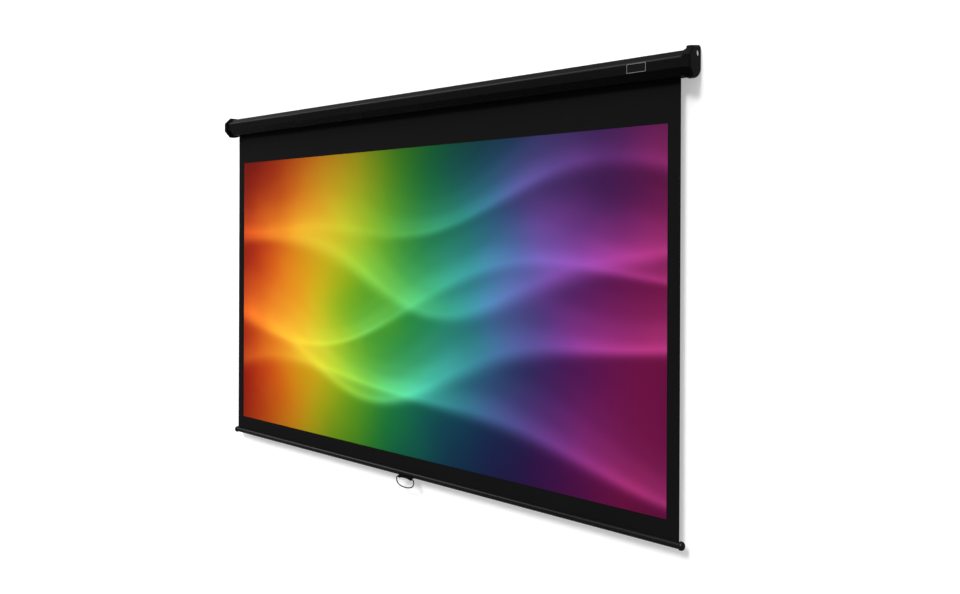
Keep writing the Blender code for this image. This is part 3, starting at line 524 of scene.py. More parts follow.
def cap_rings(end_name):
    """All rings of an end cap, each an (x, outline) pair, from the hanging hole out and round back to it."""
    corners = flange_corners(end_name)
    rings = []

    def cup_outline(distance):
        """The flange's outline moved in by a distance, and pushed out where it comes too near the hole."""
        outline = along_spokes(bent(moved_in(corners, distance), max(CAP_CORNER - distance, LEAST_CORNER)))
        from_hole = outline - HOLE
        least = HOLE_CLEAR + HOLE_SPREAD * (CAP_EDGE + FACE_MARGIN - distance)
        return HOLE + from_hole * np.maximum(least / np.linalg.norm(from_hole, axis=1)[:, None], 1.0)

    hole_ways = cup_outline(CAP_EDGE + FACE_MARGIN) - HOLE
    hole_ways /= np.linalg.norm(hole_ways, axis=1)[:, None]

    def cup(x, distance):
        """A ring of the flange, moved in by a distance."""
        rings.append((x, cup_outline(distance)))

    def rounded_cup(radius, inset, angles):
        """Rings round the flange's rounded edge: a quarter circle in x and in the distance moved in."""
        for angle in angles:
            cup(fillet_x + radius * math.sin(angle), inset + radius * (1 - math.cos(angle)))

    def collar(x, half):
        """An octagonal ring of the collar."""
        rings.append((x, along_spokes(bent(octagon_corners(half), COLLAR_CORNER))))

    def hole(x, radius):
        """A round ring of the hanging hole, its points facing those of the flange."""
        rings.append((x, HOLE + radius * hole_ways))

    face_x = HALF_LENGTH
    inner_x = HALF_LENGTH - CAP_WALL
    fillet_x = HALF_LENGTH - CAP_EDGE
    flange_x = HALF_LENGTH - CAP_DEPTH
    web_x = flange_x + WEB_INSET
    quarter = np.radians(np.linspace(90, 0, CAP_EDGE_POINTS))
    hole(face_x - HOLE_CHAMFER, HOLE_RADIUS)
    hole(face_x - HOLE_CHAMFER * ROUNDED, HOLE_RADIUS + HOLE_CHAMFER * ROUNDED)
    hole(face_x, HOLE_RADIUS + HOLE_CHAMFER)
    hole(face_x, HOLE_RADIUS + HOLE_CHAMFER + FACE_MARGIN)
    cup(face_x, CAP_EDGE + FACE_MARGIN)
    rounded_cup(CAP_EDGE, 0.0, quarter)
    cup(fillet_x - FACE_MARGIN, 0.0)
    cup(flange_x + CAP_LIP + FACE_MARGIN, 0.0)
    cup(flange_x + CAP_LIP, 0.0)
    cup(flange_x + CAP_LIP * ROUNDED, CAP_LIP * ROUNDED)
    cup(flange_x, CAP_LIP)
    cup(flange_x, CAP_WALL - CAP_LIP)
    cup(web_x, CAP_WALL)
    collar(web_x, COLLAR_HALF + FACE_MARGIN)
    collar(web_x, COLLAR_HALF)
    collar(web_x - FACE_MARGIN, COLLAR_HALF)
    collar(COLLAR_START_X + CAP_LIP + FACE_MARGIN, COLLAR_HALF)
    collar(COLLAR_START_X + CAP_LIP, COLLAR_HALF)
    collar(COLLAR_START_X, COLLAR_HALF - CAP_LIP)
    collar(COLLAR_START_X, COLLAR_BORE_HALF + CAP_LIP)
    collar(COLLAR_START_X + CAP_LIP, COLLAR_BORE_HALF)
    collar(COLLAR_FLOOR_X, COLLAR_BORE_HALF)
    collar(COLLAR_FLOOR_X, COLLAR_STOP_HALF)
    collar(COLLAR_END_X, COLLAR_STOP_HALF)
    collar(COLLAR_END_X, COLLAR_HALF)
    collar(web_x + WEB_THICK, COLLAR_HALF)
    cup(web_x + WEB_THICK, CAP_WALL)
    rounded_cup(CAP_EDGE - CAP_WALL, CAP_WALL, quarter[::-3])
    hole(inner_x, HOLE_RADIUS + FACE_MARGIN)
    hole(inner_x, HOLE_RADIUS)
    return rings


def ring_grid(rings, side=1):
    """Points of (x, outline) rings as one array, mirrored to the left for side -1."""
    grid = np.empty((len(rings), len(rings[0][1]), 3))
    for row, (x, outline) in zip(grid, rings):
        row[:, 0] = side * x
        row[:, 1:] = outline
    return grid


def roller_boss(side):
    """The boss that carries the roller, as a ring: round inside on the right, a flat slot on the left."""
    ways = circle(turns_round(BOSS_STEPS) + BOSS_TURN)
    if side > 0:
        bore = ROLLER_CENTRE + BUSH_BORE * ways
    else:
        bore = outline_ring(ROLLER_CENTRE + RECTANGLE * SPINDLE_SLOT, ways, 0.0)
    outer = ROLLER_CENTRE + BOSS_RADIUS * ways
    end = HALF_LENGTH - CAP_WALL / 2
    return ring_grid([(BOSS_START_X, bore), (BOSS_START_X, outer), (end, outer), (end, bore)], side)


def cut_out(piece, low, high):
    """Cuts a box out of a piece."""
    points = np.array(list(itertools.product(*zip(low, high))))
    faces = np.array([[0, 1, 3, 2], [4, 6, 7, 5], [0, 4, 5, 1], [2, 3, 7, 6], [0, 2, 6, 4], [1, 5, 7, 3]])
    cutter = show("cutter", points, [faces], [])
    cut = piece.modifiers.new("cut", "BOOLEAN")
    cut.operation = "DIFFERENCE"
    cut.solver = "EXACT"
    cut.object = cutter
    shaped = bpy.data.meshes.new_from_object(piece.evaluated_get(bpy.context.evaluated_depsgraph_get()))
    piece.modifiers.clear()
    piece.data = shaped
    shaped.set_sharp_from_angle(angle=SHARP_FROM)
    bpy.data.objects.remove(cutter)


cap_plastic = moulded_black("satin_black_plastic", CAP_GLOSS, CAP_ROUGHNESS)
for end_name, side in ENDS:
    cup_points = ring_grid(cap_rings(end_name), side)
    boss_points = roller_boss(side)
    ring_count, round_count = cup_points.shape[:2]
    cap_faces = [grid_faces(ring_count, round_count, closed_along=True),
                 grid_faces(4, BOSS_STEPS, closed_along=True, first=ring_count * round_count)]
    cap_points = np.concatenate([cup_points.reshape(-1, 3), boss_points.reshape(-1, 3)])
    cap = show(f"cap_moulding_{end_name}", cap_points, cap_faces, [cap_plastic])
    window_x = sorted((side * WINDOW_FROM_X, side * WINDOW_TO_X))
    cut_out(cap, (window_x[0], WINDOW_FRONT_Y, WINDOW_LOW),
            (window_x[1], WINDOW_PAST_Y, EAR_TOP[end_name] - WINDOW_BELOW_EAR))
    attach(cap, "case")
    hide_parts(f"end_cap_{end_name}")


# Screws: small black pan heads with a cross recess. Two hold each cap to the case, from above and from below,
# and two hold the handle clip under the weight bar.

HEAD_RADIUS = 0.0028
HEAD_TALL = 0.0018
HEAD_DROP = 0.00075
HEAD_MIDDLE = 0.00004
SHANK_RADIUS = 0.0013
SHANK_LONG = 0.0080
TIP_LONG = 0.0015
CROSS_ARM = 0.0017
CROSS_HALF = 0.00032
CROSS_DEEP = 0.0009
SCREW_STEPS = 48
OXIDE_DEEP = (0.018, 0.018, 0.020)
OXIDE_PALE = (0.050, 0.049, 0.048)
CAP_SCREW_X = 1.1745
CAP_SCREW_Z = 0.0425
# Each level's name, the way its heads point, and where they are along Y
CAP_SCREW_LEVELS = (("bottom", -1, -0.0567), ("top", 1, -0.047))


def black_oxide():
    """Black oxide on steel, in duller and brighter patches."""
    oxide = Finish("black_oxide_steel", Metallic=0.85)
    patch = oxide.noise(900.0, detail=3.0)
    colour = oxide.mixed(patch, OXIDE_DEEP, OXIDE_PALE)
    return oxide.done(colour, oxide.between(patch, 0.28, 0.46, span=(0.3, 0.7)))


def screw_points():
    """A screw's rings from the middle of its head to its tip, each point from its height, radius and turn.

    The head is a dome that falls with the fourth power of the radius. The cross is pressed into it. Its depth
    is full within half an arm's width of either centre line and nine tenths of an arm's length of the middle,
    and it fades out just past them.
    """
    over_cross = np.linspace(HEAD_MIDDLE, CROSS_ARM * 1.15, 12)
    head = np.concatenate([over_cross, [HEAD_RADIUS * 0.80, HEAD_RADIUS * 0.95]])
    radius = np.concatenate([head, [HEAD_RADIUS, HEAD_RADIUS, SHANK_RADIUS, SHANK_RADIUS, SHANK_RADIUS / 4]])
    dome = HEAD_TALL - HEAD_DROP * (head / HEAD_RADIUS) ** 4
    height = np.concatenate([dome, [HEAD_TALL * 0.45, 0.0, 0.0, -SHANK_LONG + TIP_LONG, -SHANK_LONG]])
    turns = turns_round(SCREW_STEPS)
    across = radius[:, None] * np.cos(turns)
    along = radius[:, None] * np.sin(turns)
    arm = np.minimum(abs(across), abs(along))
    reach = np.maximum(abs(across), abs(along))
    deep = np.clip((CROSS_HALF * 1.3 - arm) / (CROSS_HALF * 0.3), 0, 1)
    deep = deep * np.clip((CROSS_ARM - reach) / (CROSS_ARM * 0.1), 0, 1)
    upper = height[:, None] - CROSS_DEEP * deep * (radius[:, None] <= CROSS_ARM * 1.2)
    return np.stack([across, along, upper], axis=2)


screw_finish = black_oxide()
screw_rings = screw_points()


def place_screw(name, place, up, body, node):
    """A screw at its place, with its head up for up 1 and down for up -1."""
    points = screw_rings * (1.0, up, up) + np.array(place)
    faces = [grid_faces(len(points), SCREW_STEPS), *end_faces(len(points), SCREW_STEPS)]
    screw = show(name, points, faces, [screw_finish])
    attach(screw, body)
    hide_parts(node)


for (end_name, side), (level_name, up, screw_y) in itertools.product(ENDS, CAP_SCREW_LEVELS):
    place_screw(f"cap_bolt_{end_name}_{level_name}", (side * CAP_SCREW_X, screw_y, up * CAP_SCREW_Z), up,
                "case", f"cap_screw_{end_name}_{level_name}")


# Badge: a thin aluminium plate stuck to the case's front, near its right end. It is black inside a bright
# raised rim, and it is left bare.

BADGE_X = 1.020
BADGE_SIZE = (0.066, 0.029)
BADGE_BACK_Y = -0.0868
BADGE_THICK = 0.001
BADGE_RIM = 0.0014
BADGE_RECESS = 0.0004
BADGE_CORNER = 0.0012
BADGE_LEAST_CORNER = 0.0002
BADGE_SOFT_EDGE = 0.00015
BADGE_MIDDLE = 0.004
RIM_DEEP = (0.42, 0.42, 0.44)
RIM_PALE = (0.60, 0.60, 0.62)
FIELD_DEEP = (0.0030, 0.0030, 0.0034)
FIELD_PALE = (0.0070, 0.0070, 0.0076)


def badge_rim_metal():
    """Bright aluminium, brushed along its length."""
    metal = Finish("badge_rim_aluminium", Metallic=1.0)
    brushed = metal.noise(60.0, detail=4.0, stretch=(1.0, 30.0, 30.0))
    colour = metal.mixed(brushed, RIM_DEEP, RIM_PALE)
    roughness = metal.between(brushed, 0.24, 0.38)
    return metal.done(colour, roughness, metal.relief(brushed, depth=0.00001, strength=0.4))


def badge_field():
    """Black anodised aluminium, brushed along its length."""
    metal = Finish("badge_black_field", Metallic=0.1, Specular_IOR_Level=0.1)
    brushed = metal.noise(70.0, detail=4.0, stretch=(1.0, 30.0, 30.0))
    return metal.done(metal.mixed(brushed, FIELD_DEEP, FIELD_PALE), metal.between(brushed, 0.28, 0.42))


def badge_rings():
    """Rounded rectangles from the plate's back, round its rim and down to its recessed middle.

    Two directions beside each axis give every straight side its two ends, and the others round the corners.
    """
    square = np.arange(0, 360, 90)
    ways = circle(np.radians(np.sort(np.concatenate([square - 0.01, square + 0.01, np.arange(9, 360, 18)]))))
    front = BADGE_BACK_Y - BADGE_THICK
    rings = []
    for depth, inset in ((BADGE_BACK_Y, BADGE_MIDDLE), (BADGE_BACK_Y, 0.0), (front + BADGE_SOFT_EDGE, 0.0),
                         (front, BADGE_SOFT_EDGE), (front, BADGE_RIM - BADGE_SOFT_EDGE),
                         (front + BADGE_SOFT_EDGE, BADGE_RIM), (front + BADGE_RECESS, BADGE_RIM),
                         (front + BADGE_RECESS, BADGE_MIDDLE)):
        radius = max(BADGE_CORNER - inset, BADGE_LEAST_CORNER)
        half = np.array(BADGE_SIZE) / 2 - inset - radius
        outline = outline_ring(RECTANGLE * half, ways, radius)
        rings.append(np.stack([BADGE_X + outline[:, 0], np.full(len(ways), depth), outline[:, 1]], axis=1))
    return np.array(rings)


badge_points = badge_rings()
ring_count, round_count = badge_points.shape[:2]
badge_grid = grid_faces(ring_count, round_count)
# The recessed middle, which is the grid's last band and the last face, is black
badge_finish = np.zeros(len(badge_grid) + 2, int)
badge_finish[len(badge_grid) - round_count:len(badge_grid)] = 1
badge_finish[-1] = 1
badge = show("badge", badge_points, [badge_grid, *end_faces(ring_count, round_count)],
             [badge_rim_metal(), badge_field()], badge_finish)
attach(badge, "case")
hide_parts("badge_plate")


# Screen fabric: one sheet of coated cloth, 2.300 m wide, black round the picture and on its back. It hangs
# from the roller to the weight bar, stretched by the bar's weight, with the faint waves such cloth keeps.

FABRIC_HALF = 1.150
FABRIC_Y = -0.0400
FABRIC_THICK = 0.0004
FABRIC_BOTTOM_Z = -1.4863
FABRIC_COLUMNS = 150
FABRIC_ROWS = 96
WAVE_DEEP = 0.0005
WAVES_FROM_Z = -0.060
WAVE_POWER = 0.7
# Each wave: its share, how fast it runs along X and along Z, and its start
WAVES = ((1.0, 9.0, 1.1, 0.0), (0.5, 21.0, -2.3, 0.8))
THREAD_PITCH = 0.0011
CLOTH_DEEP = (0.0034, 0.0034, 0.0038)
CLOTH_PALE = (0.0052, 0.0052, 0.0057)


def cloth_wave(x, z):
    """How far the cloth stands out of its plane: upright waves along X that die away at the slot and the bar.

    The waves are two sines of x, bent a little by z, times a power of a sine over the height that is 0 at
    both ends.
    """
    hang = np.clip((z - WAVES_FROM_Z) / (FABRIC_BOTTOM_Z - WAVES_FROM_Z), 0.0, 1.0)
    wave = sum(share * np.sin(pace * x + lean * z + start) for share, pace, lean, start in WAVES)
    return WAVE_DEEP * wave * np.sin(math.pi * hang) ** WAVE_POWER


def black_masking():
    """Matte black coating over a fine plain weave, about a thread to the millimetre, with a soft sheen."""
    cloth = Finish("black_masking_cloth", Specular_IOR_Level=0.05, Sheen_Weight=0.006, Sheen_Roughness=0.5,
                   Sheen_Tint=(0.6, 0.6, 0.62, 1.0))
    apart = cloth.parts(cloth.place)
    pitch = 2 * math.pi / THREAD_PITCH
    across = cloth.math("SINE", cloth.math("MULTIPLY", apart["X"], pitch))
    down = cloth.math("SINE", cloth.math("MULTIPLY", apart["Z"], pitch))
    weave = cloth.math("MULTIPLY", across, down)
    drift = cloth.noise(5.0, detail=4.0, stretch=(1.0, 1.0, 0.35))
    colour = cloth.mixed(drift, CLOTH_DEEP, CLOTH_PALE)
    roughness = cloth.between(drift, 0.66, 0.80, span=(0.3, 0.7))
    threads = cloth.relief(weave, depth=0.00004, strength=0.5)
    normal = cloth.relief(cloth.noise(2200.0), depth=0.00003, strength=0.5, under=threads)
    return cloth.done(colour, roughness, normal)


masking = black_masking()
fabric_drop = np.linspace(0.0, FABRIC_BOTTOM_Z, FABRIC_ROWS + 1)
fabric_points = np.stack([np.full(len(fabric_drop), FABRIC_Y), fabric_drop], axis=1)
fabric_normals = np.tile((-1.0, 0.0), (len(fabric_drop), 1))
fabric_sheet = drawn_wall("fabric_sheet", fabric_points, fabric_normals, FABRIC_THICK,
                          even_levels(FABRIC_HALF, FABRIC_COLUMNS), masking, cloth_wave)
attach(fabric_sheet, "case")
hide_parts("screen_fabric")
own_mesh(fabric_sheet)


# Viewing surface: the matte white coat inside the black border, which shows the picture. The picture is a
# generic one: soft veils of light that run across it, from red at the left to magenta at the right.

PICTURE_HALF = 1.107
PICTURE_TOP_Z = -0.1775
PICTURE_BOTTOM_Z = -1.4225
PICTURE_ASPECT = 1.778
PICTURE_THICK = 0.0002
PICTURE_Y = -0.0406
PICTURE_COLUMNS = 149
PICTURE_ROWS = 85
DEEP_COLOURS = (
    (0.00, (0.260, 0.004, 0.002)), (0.08, (0.480, 0.020, 0.003)), (0.17, (0.620, 0.130, 0.004)),
    (0.26, (0.420, 0.300, 0.004)), (0.35, (0.110, 0.260, 0.004)), (0.46, (0.008, 0.160, 0.010)),
    (0.57, (0.002, 0.095, 0.050)), (0.67, (0.002, 0.026, 0.075)), (0.78, (0.008, 0.005, 0.060)),
    (0.89, (0.075, 0.003, 0.090)), (1.00, (0.260, 0.004, 0.080)))
LIGHT_COLOURS = (
    (0.00, (1.000, 0.100, 0.020)), (0.10, (1.000, 0.300, 0.020)), (0.20, (1.000, 0.620, 0.040)),
    (0.30, (0.750, 0.900, 0.050)), (0.42, (0.250, 0.850, 0.080)), (0.54, (0.100, 0.800, 0.350)),
    (0.65, (0.060, 0.500, 0.620)), (0.76, (0.160, 0.160, 0.720)), (0.88, (0.550, 0.080, 0.620)),
    (1.00, (1.000, 0.080, 0.400)))
# How far the run of colours leans with height, where it starts, and how far the cloud moves it
RUN_LEAN = -0.10
RUN_START = -0.04
RUN_CLOUD = 0.20
# Each veil of light: its level, the size, pace and start of its two swings, its width, and its strength
VEILS = (
    (0.16, 0.10, 2.3, 0.4, 0.035, 5.1, 1.0, 0.20, 0.60),
    (0.34, 0.13, 2.9, 2.6, 0.040, 6.3, 0.2, 0.26, 0.75),
    (0.50, 0.15, 2.0, 4.4, 0.050, 4.7, 2.2, 0.18, 0.55),
    (0.62, 0.12, 3.3, 1.2, 0.030, 7.1, 4.0, 0.30, 0.70),
    (0.80, 0.09, 2.6, 3.5, 0.045, 5.6, 5.3, 0.22, 0.45))
# How far a veil's width swings, how fast its light fades above and below its line, and its silky threads
WIDTH_SWING = 0.35
FADE_ABOVE = 2.6
FADE_BELOW = 9.0
THREADS_ACROSS = 17.0
THREADS_ALONG = 5.0
THREAD_SHARE = 0.07
# The glow behind the veils: its middle, how much flatter than wide it is, and how fast it fades
GLOW_MIDDLE = (0.72, 0.44)
GLOW_FLAT = 1.5
GLOW_FADE = 1.3
# What the deep colours are multiplied by away from the glow and in it
GROUND_DIM = (0.20, 0.20, 0.23)
GROUND_LIT = (1.50, 1.50, 1.42)
# How much of the veils' light shows away from the glow, how much more shows in it, and the most of it
LIGHT_SHARE = (0.42, 0.45)
MOST_LIGHT = 0.92


def colour_run(nodes, place, stops, blend="B_SPLINE"):
    """A row of colours, each at its place along a line, blended smoothly unless told otherwise."""
    made = nodes.node("ShaderNodeValToRGB", Fac=place)
    ramp = made.color_ramp
    ramp.interpolation = blend
    for element, (position, colour) in zip(ramp.elements, (stops[0], stops[-1])):
        element.position = position
        element.color = (*colour, 1.0)
    for position, colour in stops[1:-1]:
        ramp.elements.new(position).color = (*colour, 1.0)
    return made.outputs["Color"]


def veil_of_light(surface, u, v, veil):
    """One veil: bright along a wandering line, fading slowly above it and fast below it, with silky threads.

    The line is the level plus two sines of u, and t is the distance from it, in widths. Above the line the
    light is e to the power of -2.6 t, below it e to the power of -(9 t) squared. The threads are a sine of t
    and u.
    """
    level, swing, pace, start, ripple, ripple_pace, ripple_start, width, strength = veil
    reckon = surface.math
    first = reckon("MULTIPLY", reckon("SINE", reckon("MULTIPLY_ADD", u, pace, start)), swing)
    second = reckon("SINE", reckon("MULTIPLY_ADD", u, ripple_pace, ripple_start))
    line = reckon("ADD", reckon("MULTIPLY_ADD", second, ripple, first), level)
    breadth = reckon("MULTIPLY_ADD", second, width * WIDTH_SWING, width)
    t = reckon("DIVIDE", reckon("SUBTRACT", v, line), breadth)
    above = reckon("MULTIPLY", reckon("MAXIMUM", t, 0.0), FADE_ABOVE)
    below = reckon("MULTIPLY", reckon("MINIMUM", t, 0.0), FADE_BELOW)
    fall = reckon("ADD", above, reckon("MULTIPLY", below, below))
    light = reckon("EXPONENT", reckon("MULTIPLY", fall, -1.0))
    threads = reckon("ADD", reckon("MULTIPLY", t, THREADS_ACROSS), reckon("MULTIPLY", u, THREADS_ALONG))
    silk = reckon("MULTIPLY_ADD", reckon("SINE", threads), THREAD_SHARE, 1 - THREAD_SHARE)
    return reckon("MULTIPLY", reckon("MULTIPLY", light, silk), strength)


def projected_picture():
    """The picture on a matte coat: deep colours, the veils' light over them, and a very fine pearl grain.

    The glow is e to the power of minus GLOW_FADE times the squared distance from its middle.
    """
    surface = Finish("matte_picture_coat", Specular_IOR_Level=0.08)
    reckon = surface.math
    flat = surface.node("ShaderNodeUVMap", uv_map="surface").outputs[0]
    apart = surface.parts(flat)
    u, v = apart["X"], apart["Y"]
    cloud = surface.node("ShaderNodeTexNoise", Vector=flat, Scale=1.7, Detail=3.0,
                         Roughness=0.45).outputs["Fac"]
    along = reckon("MULTIPLY_ADD", u, 1 / PICTURE_ASPECT, reckon("MULTIPLY_ADD", v, RUN_LEAN, RUN_START))
    along = reckon("MULTIPLY_ADD", cloud, RUN_CLOUD, along)
    deep = colour_run(surface, along, DEEP_COLOURS)
    bright = colour_run(surface, along, LIGHT_COLOURS)
    light = veil_of_light(surface, u, v, VEILS[0])
    for veil in VEILS[1:]:
        light = reckon("ADD", light, veil_of_light(surface, u, v, veil))
    light = reckon("MULTIPLY", light, surface.between(cloud, 0.55, 1.25, span=(0.30, 0.70)))
    glow_u = reckon("SUBTRACT", u, GLOW_MIDDLE[0])
    glow_v = reckon("MULTIPLY", reckon("SUBTRACT", v, GLOW_MIDDLE[1]), GLOW_FLAT)
    glow = reckon("EXPONENT", reckon("MULTIPLY", surface.squares(glow_u, glow_v), -GLOW_FADE))
    colour = surface.mixed(1.0, deep, surface.mixed(glow, GROUND_DIM, GROUND_LIT), "MULTIPLY")
    share = reckon("MULTIPLY", light, reckon("MULTIPLY_ADD", glow, LIGHT_SHARE[1], LIGHT_SHARE[0]))
    colour = surface.mixed(reckon("MINIMUM", share, MOST_LIGHT), colour, bright)
    grain = surface.noise(1600.0)
    roughness = surface.between(grain, 0.70, 0.86)
    return surface.done(colour, roughness, surface.relief(grain, depth=0.00002, strength=0.4))


def thin_layer(name, half, top, bottom, middle_y, thickness, finish, columns, rows):
    """A flat layer with a front, a back and edges, that follows the cloth's waves.

    It is a grid over (x, z) on the front, the same grid on the back, and strips that join their borders. Its
    own coordinates are u = x and v = z from its lower left corner, both in picture heights.
    """
    x, z = np.meshgrid(np.linspace(-half, half, columns), np.linspace(bottom, top, rows))
    wave = cloth_wave(x, z)
    sides = [np.stack([x, middle_y + wave + step, z], axis=2) for step in (-thickness / 2, thickness / 2)]
    points = np.concatenate([side.reshape(-1, 3) for side in sides])
    count = columns * rows
    front = grid_faces(rows, columns, closed_round=False)
    border = np.concatenate([np.arange(columns), np.arange(1, rows) * columns + columns - 1,
                             (rows - 1) * columns + np.arange(columns - 2, -1, -1),
                             np.arange(rows - 2, 0, -1) * columns])
    after = np.roll(border, -1)
    edge = np.stack([border, border + count, after + count, after], axis=1)
    height = top - bottom
    uv = np.stack([(points[:, 0] + half) / height, (points[:, 2] - bottom) / height], axis=1)
    return show(name, points, [front, front[:, ::-1] + count, edge], [finish], uv=uv)


picture = thin_layer("picture_surface", PICTURE_HALF, PICTURE_TOP_Z, PICTURE_BOTTOM_Z, PICTURE_Y,
                     PICTURE_THICK, projected_picture(), PICTURE_COLUMNS, PICTURE_ROWS)
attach(picture, "case")
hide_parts("viewing_surface")
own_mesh(picture)


# Roller: a zinc-plated steel tube inside the case that winds the fabric, with its last turns still on it.
# The cloth starts at the sticky strip, goes once round and laps over its own start.

INNER_TURN_RADIUS = 0.01893
OUTER_TURN_RADIUS = 0.01935
TURN_START = math.radians(480)
LAP_START = math.radians(120)
LAP_RAMP = 0.25
TURN_END = math.radians(2)
TURN_STEPS = 120
ZINC_DEEP = (0.42, 0.43, 0.45)
ZINC_PALE = (0.62, 0.62, 0.61)
NYLON_DEEP = (0.66, 0.65, 0.60)
NYLON_PALE = (0.76, 0.75, 0.71)
GLUE_DEEP = (0.42, 0.35, 0.20)
GLUE_PALE = (0.58, 0.53, 0.38)


def wound_path():
    """The middle line of the wound cloth, and its normals: a circle, and a wider one where it laps itself.

    At the share s of the ramp between them, the radius has gone 3 s squared less 2 s cubed of the way.
    """
    turn = np.linspace(TURN_START, TURN_END, TURN_STEPS)
    over = np.clip((LAP_START + LAP_RAMP - turn) / LAP_RAMP, 0, 1)
    over = over * over * (3 - 2 * over)
    radius = INNER_TURN_RADIUS + (OUTER_TURN_RADIUS - INNER_TURN_RADIUS) * over
    normals = circle(turn)
    return ROLLER_CENTRE + radius[:, None] * normals, normals


wound_fabric = drawn_wall("wound_fabric", *wound_path(), FABRIC_THICK, even_levels(FABRIC_HALF), masking)
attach(wound_fabric, "roller")
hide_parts("fabric_wraps")


def zinc_plate():
    """Zinc-plated steel: a cool bright metal with cloudy spangle and fine drawing lines along X."""
    zinc = Finish("zinc_plated_steel", Metallic=1.0)
    cloud = zinc.noise(140.0, detail=3.0)
    drawn = zinc.noise(40.0, detail=3.0, stretch=(1.0, 25.0, 25.0))
    roughness = zinc.between(cloud, 0.26, 0.44, span=(0.3, 0.7))
    return zinc.done(zinc.mixed(cloud, ZINC_DEEP, ZINC_PALE), roughness,
                     zinc.relief(drawn, depth=0.00001, strength=0.4))


def natural_nylon():
    """Cream nylon, slightly cloudy, with the low gloss of a moulding."""
    nylon = Finish("natural_nylon", Subsurface_Weight=0.05, Subsurface_Radius=(0.002, 0.0018, 0.0015))
    cloud = nylon.noise(180.0, detail=3.0)
    roughness = nylon.between(cloud, 0.40, 0.54, span=(0.3, 0.7))
    return nylon.done(nylon.mixed(cloud, NYLON_DEEP, NYLON_PALE), roughness,
                      nylon.relief(cloud, depth=0.00003, strength=0.3))


def sticky_strip():
    """The strip's amber glue, with paler streaks along it."""
    strip = Finish("sticky_strip")
    streak = strip.noise(30.0, detail=4.0, stretch=(0.15, 6.0, 6.0))
    return strip.done(strip.mixed(streak, GLUE_DEEP, GLUE_PALE), strip.between(streak, 0.45, 0.65))


zinc, nylon, strip = zinc_plate(), natural_nylon(), sticky_strip()
# The pieces that stay as the CAD has them, by the record's slot, with the finish that each slot gets
INNER_FINISHES = {
    "steel": (zinc, ("roller_tube", "spindle", "ratchet_wheel", "gudgeon_pin", "pawl_pin_upper",
                     "pawl_pin_lower", "pawl_upper", "pawl_lower")),
    "nylon": (nylon, ("roller_head_plug", "idle_end_plug", "spring_collar", "spring_plug", "pin_bush",
                      "hem_rod")),
    "adhesive_strip": (strip, ("fabric_tape",)),
}
for slot_name, (finish, nodes) in INNER_FINISHES.items():
    for node in nodes:
        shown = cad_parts[node]
        shown.data.materials.clear()
        shown.data.materials.append(finish)


# Torsion spring: a coil of round steel wire inside the roller, from the collar on the spindle to the plug in
# the tube. It winds up as the screen comes down.

SPRING_START_X = -1.118
SPRING_END_X = -0.750
SPRING_RADIUS = 0.0098
SPRING_WIRE = 0.0008
SPRING_TURNS = 24
SPRING_STEPS = 20
SPRING_ROUND = 8


def show_tube(name, line, radius, count, finish):
    """A round wire along a line in space, with flat ends.

    At each point the ring lies in the plane of two directions at right angles to the line. One is the line's
    direction crossed with a fixed one, which the line never runs along, and the other crosses both.
    """
    way = np.gradient(line, axis=0)
    way /= np.linalg.norm(way, axis=1)[:, None]
    fixed = np.array((0.0, 1.0, 0.0)) if abs(way[:, 1]).max() < 0.9 else np.array((1.0, 0.0, 0.0))
    out = np.cross(way, fixed)
    out /= np.linalg.norm(out, axis=1)[:, None]
    side = np.cross(way, out)
    turns = turns_round(count)[None, :, None]
    ring = out[:, None, :] * np.cos(turns) + side[:, None, :] * np.sin(turns)
    rings = line[:, None, :] + ring * radius
    return show(name, rings, [grid_faces(len(rings), count), *end_faces(len(rings), count)], [finish])


coil = circle(np.linspace(0, 2 * math.pi * SPRING_TURNS, SPRING_TURNS * SPRING_STEPS + 1))
spring_line = np.column_stack([np.linspace(SPRING_START_X, SPRING_END_X, len(coil)),
                               ROLLER_CENTRE + SPRING_RADIUS * coil])
spring = show_tube("spring_coil", spring_line, SPRING_WIRE, SPRING_ROUND, zinc)
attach(spring, "roller")
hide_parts("torsion_spring")


# Weight bar: a round steel tube, 22 mm across, coated as the case is but a little glossier. A slot along its
# top takes the hem, and its weight keeps the fabric flat.

BAR_CENTRE = np.array((FABRIC_Y, -1.4945))
BAR_RADIUS = 0.011
BAR_WALL = 0.0012
BAR_SLOT_HALF = 0.0015
BAR_STEPS = 72
BAR_GLOSS = 0.13


def open_circle(gap, count):
    """A circle that is open at its top: its points start and end a small turn away from there."""
    return circle(np.linspace(math.pi / 2 + gap, 2.5 * math.pi - gap, count))


bar_normals = open_circle(math.asin(BAR_SLOT_HALF / BAR_RADIUS), BAR_STEPS)
bar_points = BAR_CENTRE + (BAR_RADIUS - BAR_WALL / 2) * bar_normals
weight_tube = drawn_wall("weight_tube", bar_points, bar_normals, BAR_WALL, even_levels(FABRIC_HALF),
                         powder_coat("gloss_powder_coat", BAR_GLOSS))
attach(weight_tube, "screen")
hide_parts("weight_bar")


# Bar caps: bulbous moulded plugs in the bar's two ends, a little wider than the bar.

BULB_PROFILE = np.array([
    (-0.018, 0.0066), (-0.017, 0.0074), (0.0003, 0.0074), (0.0003, 0.0110), (0.0005, 0.0115),
    (0.0012, 0.0126), (0.0021, 0.0136), (0.0032, 0.0140)])
BULB_ROUND_START = 0.0063
BULB_END = 0.0180
BULB_RADIUS = 0.0140
BULB_POWER = 0.8
BULB_STEPS = 56
NOSE_POINTS = 22
BULB_GLOSS = 0.16
BULB_ROUGHNESS = (0.20, 0.28)

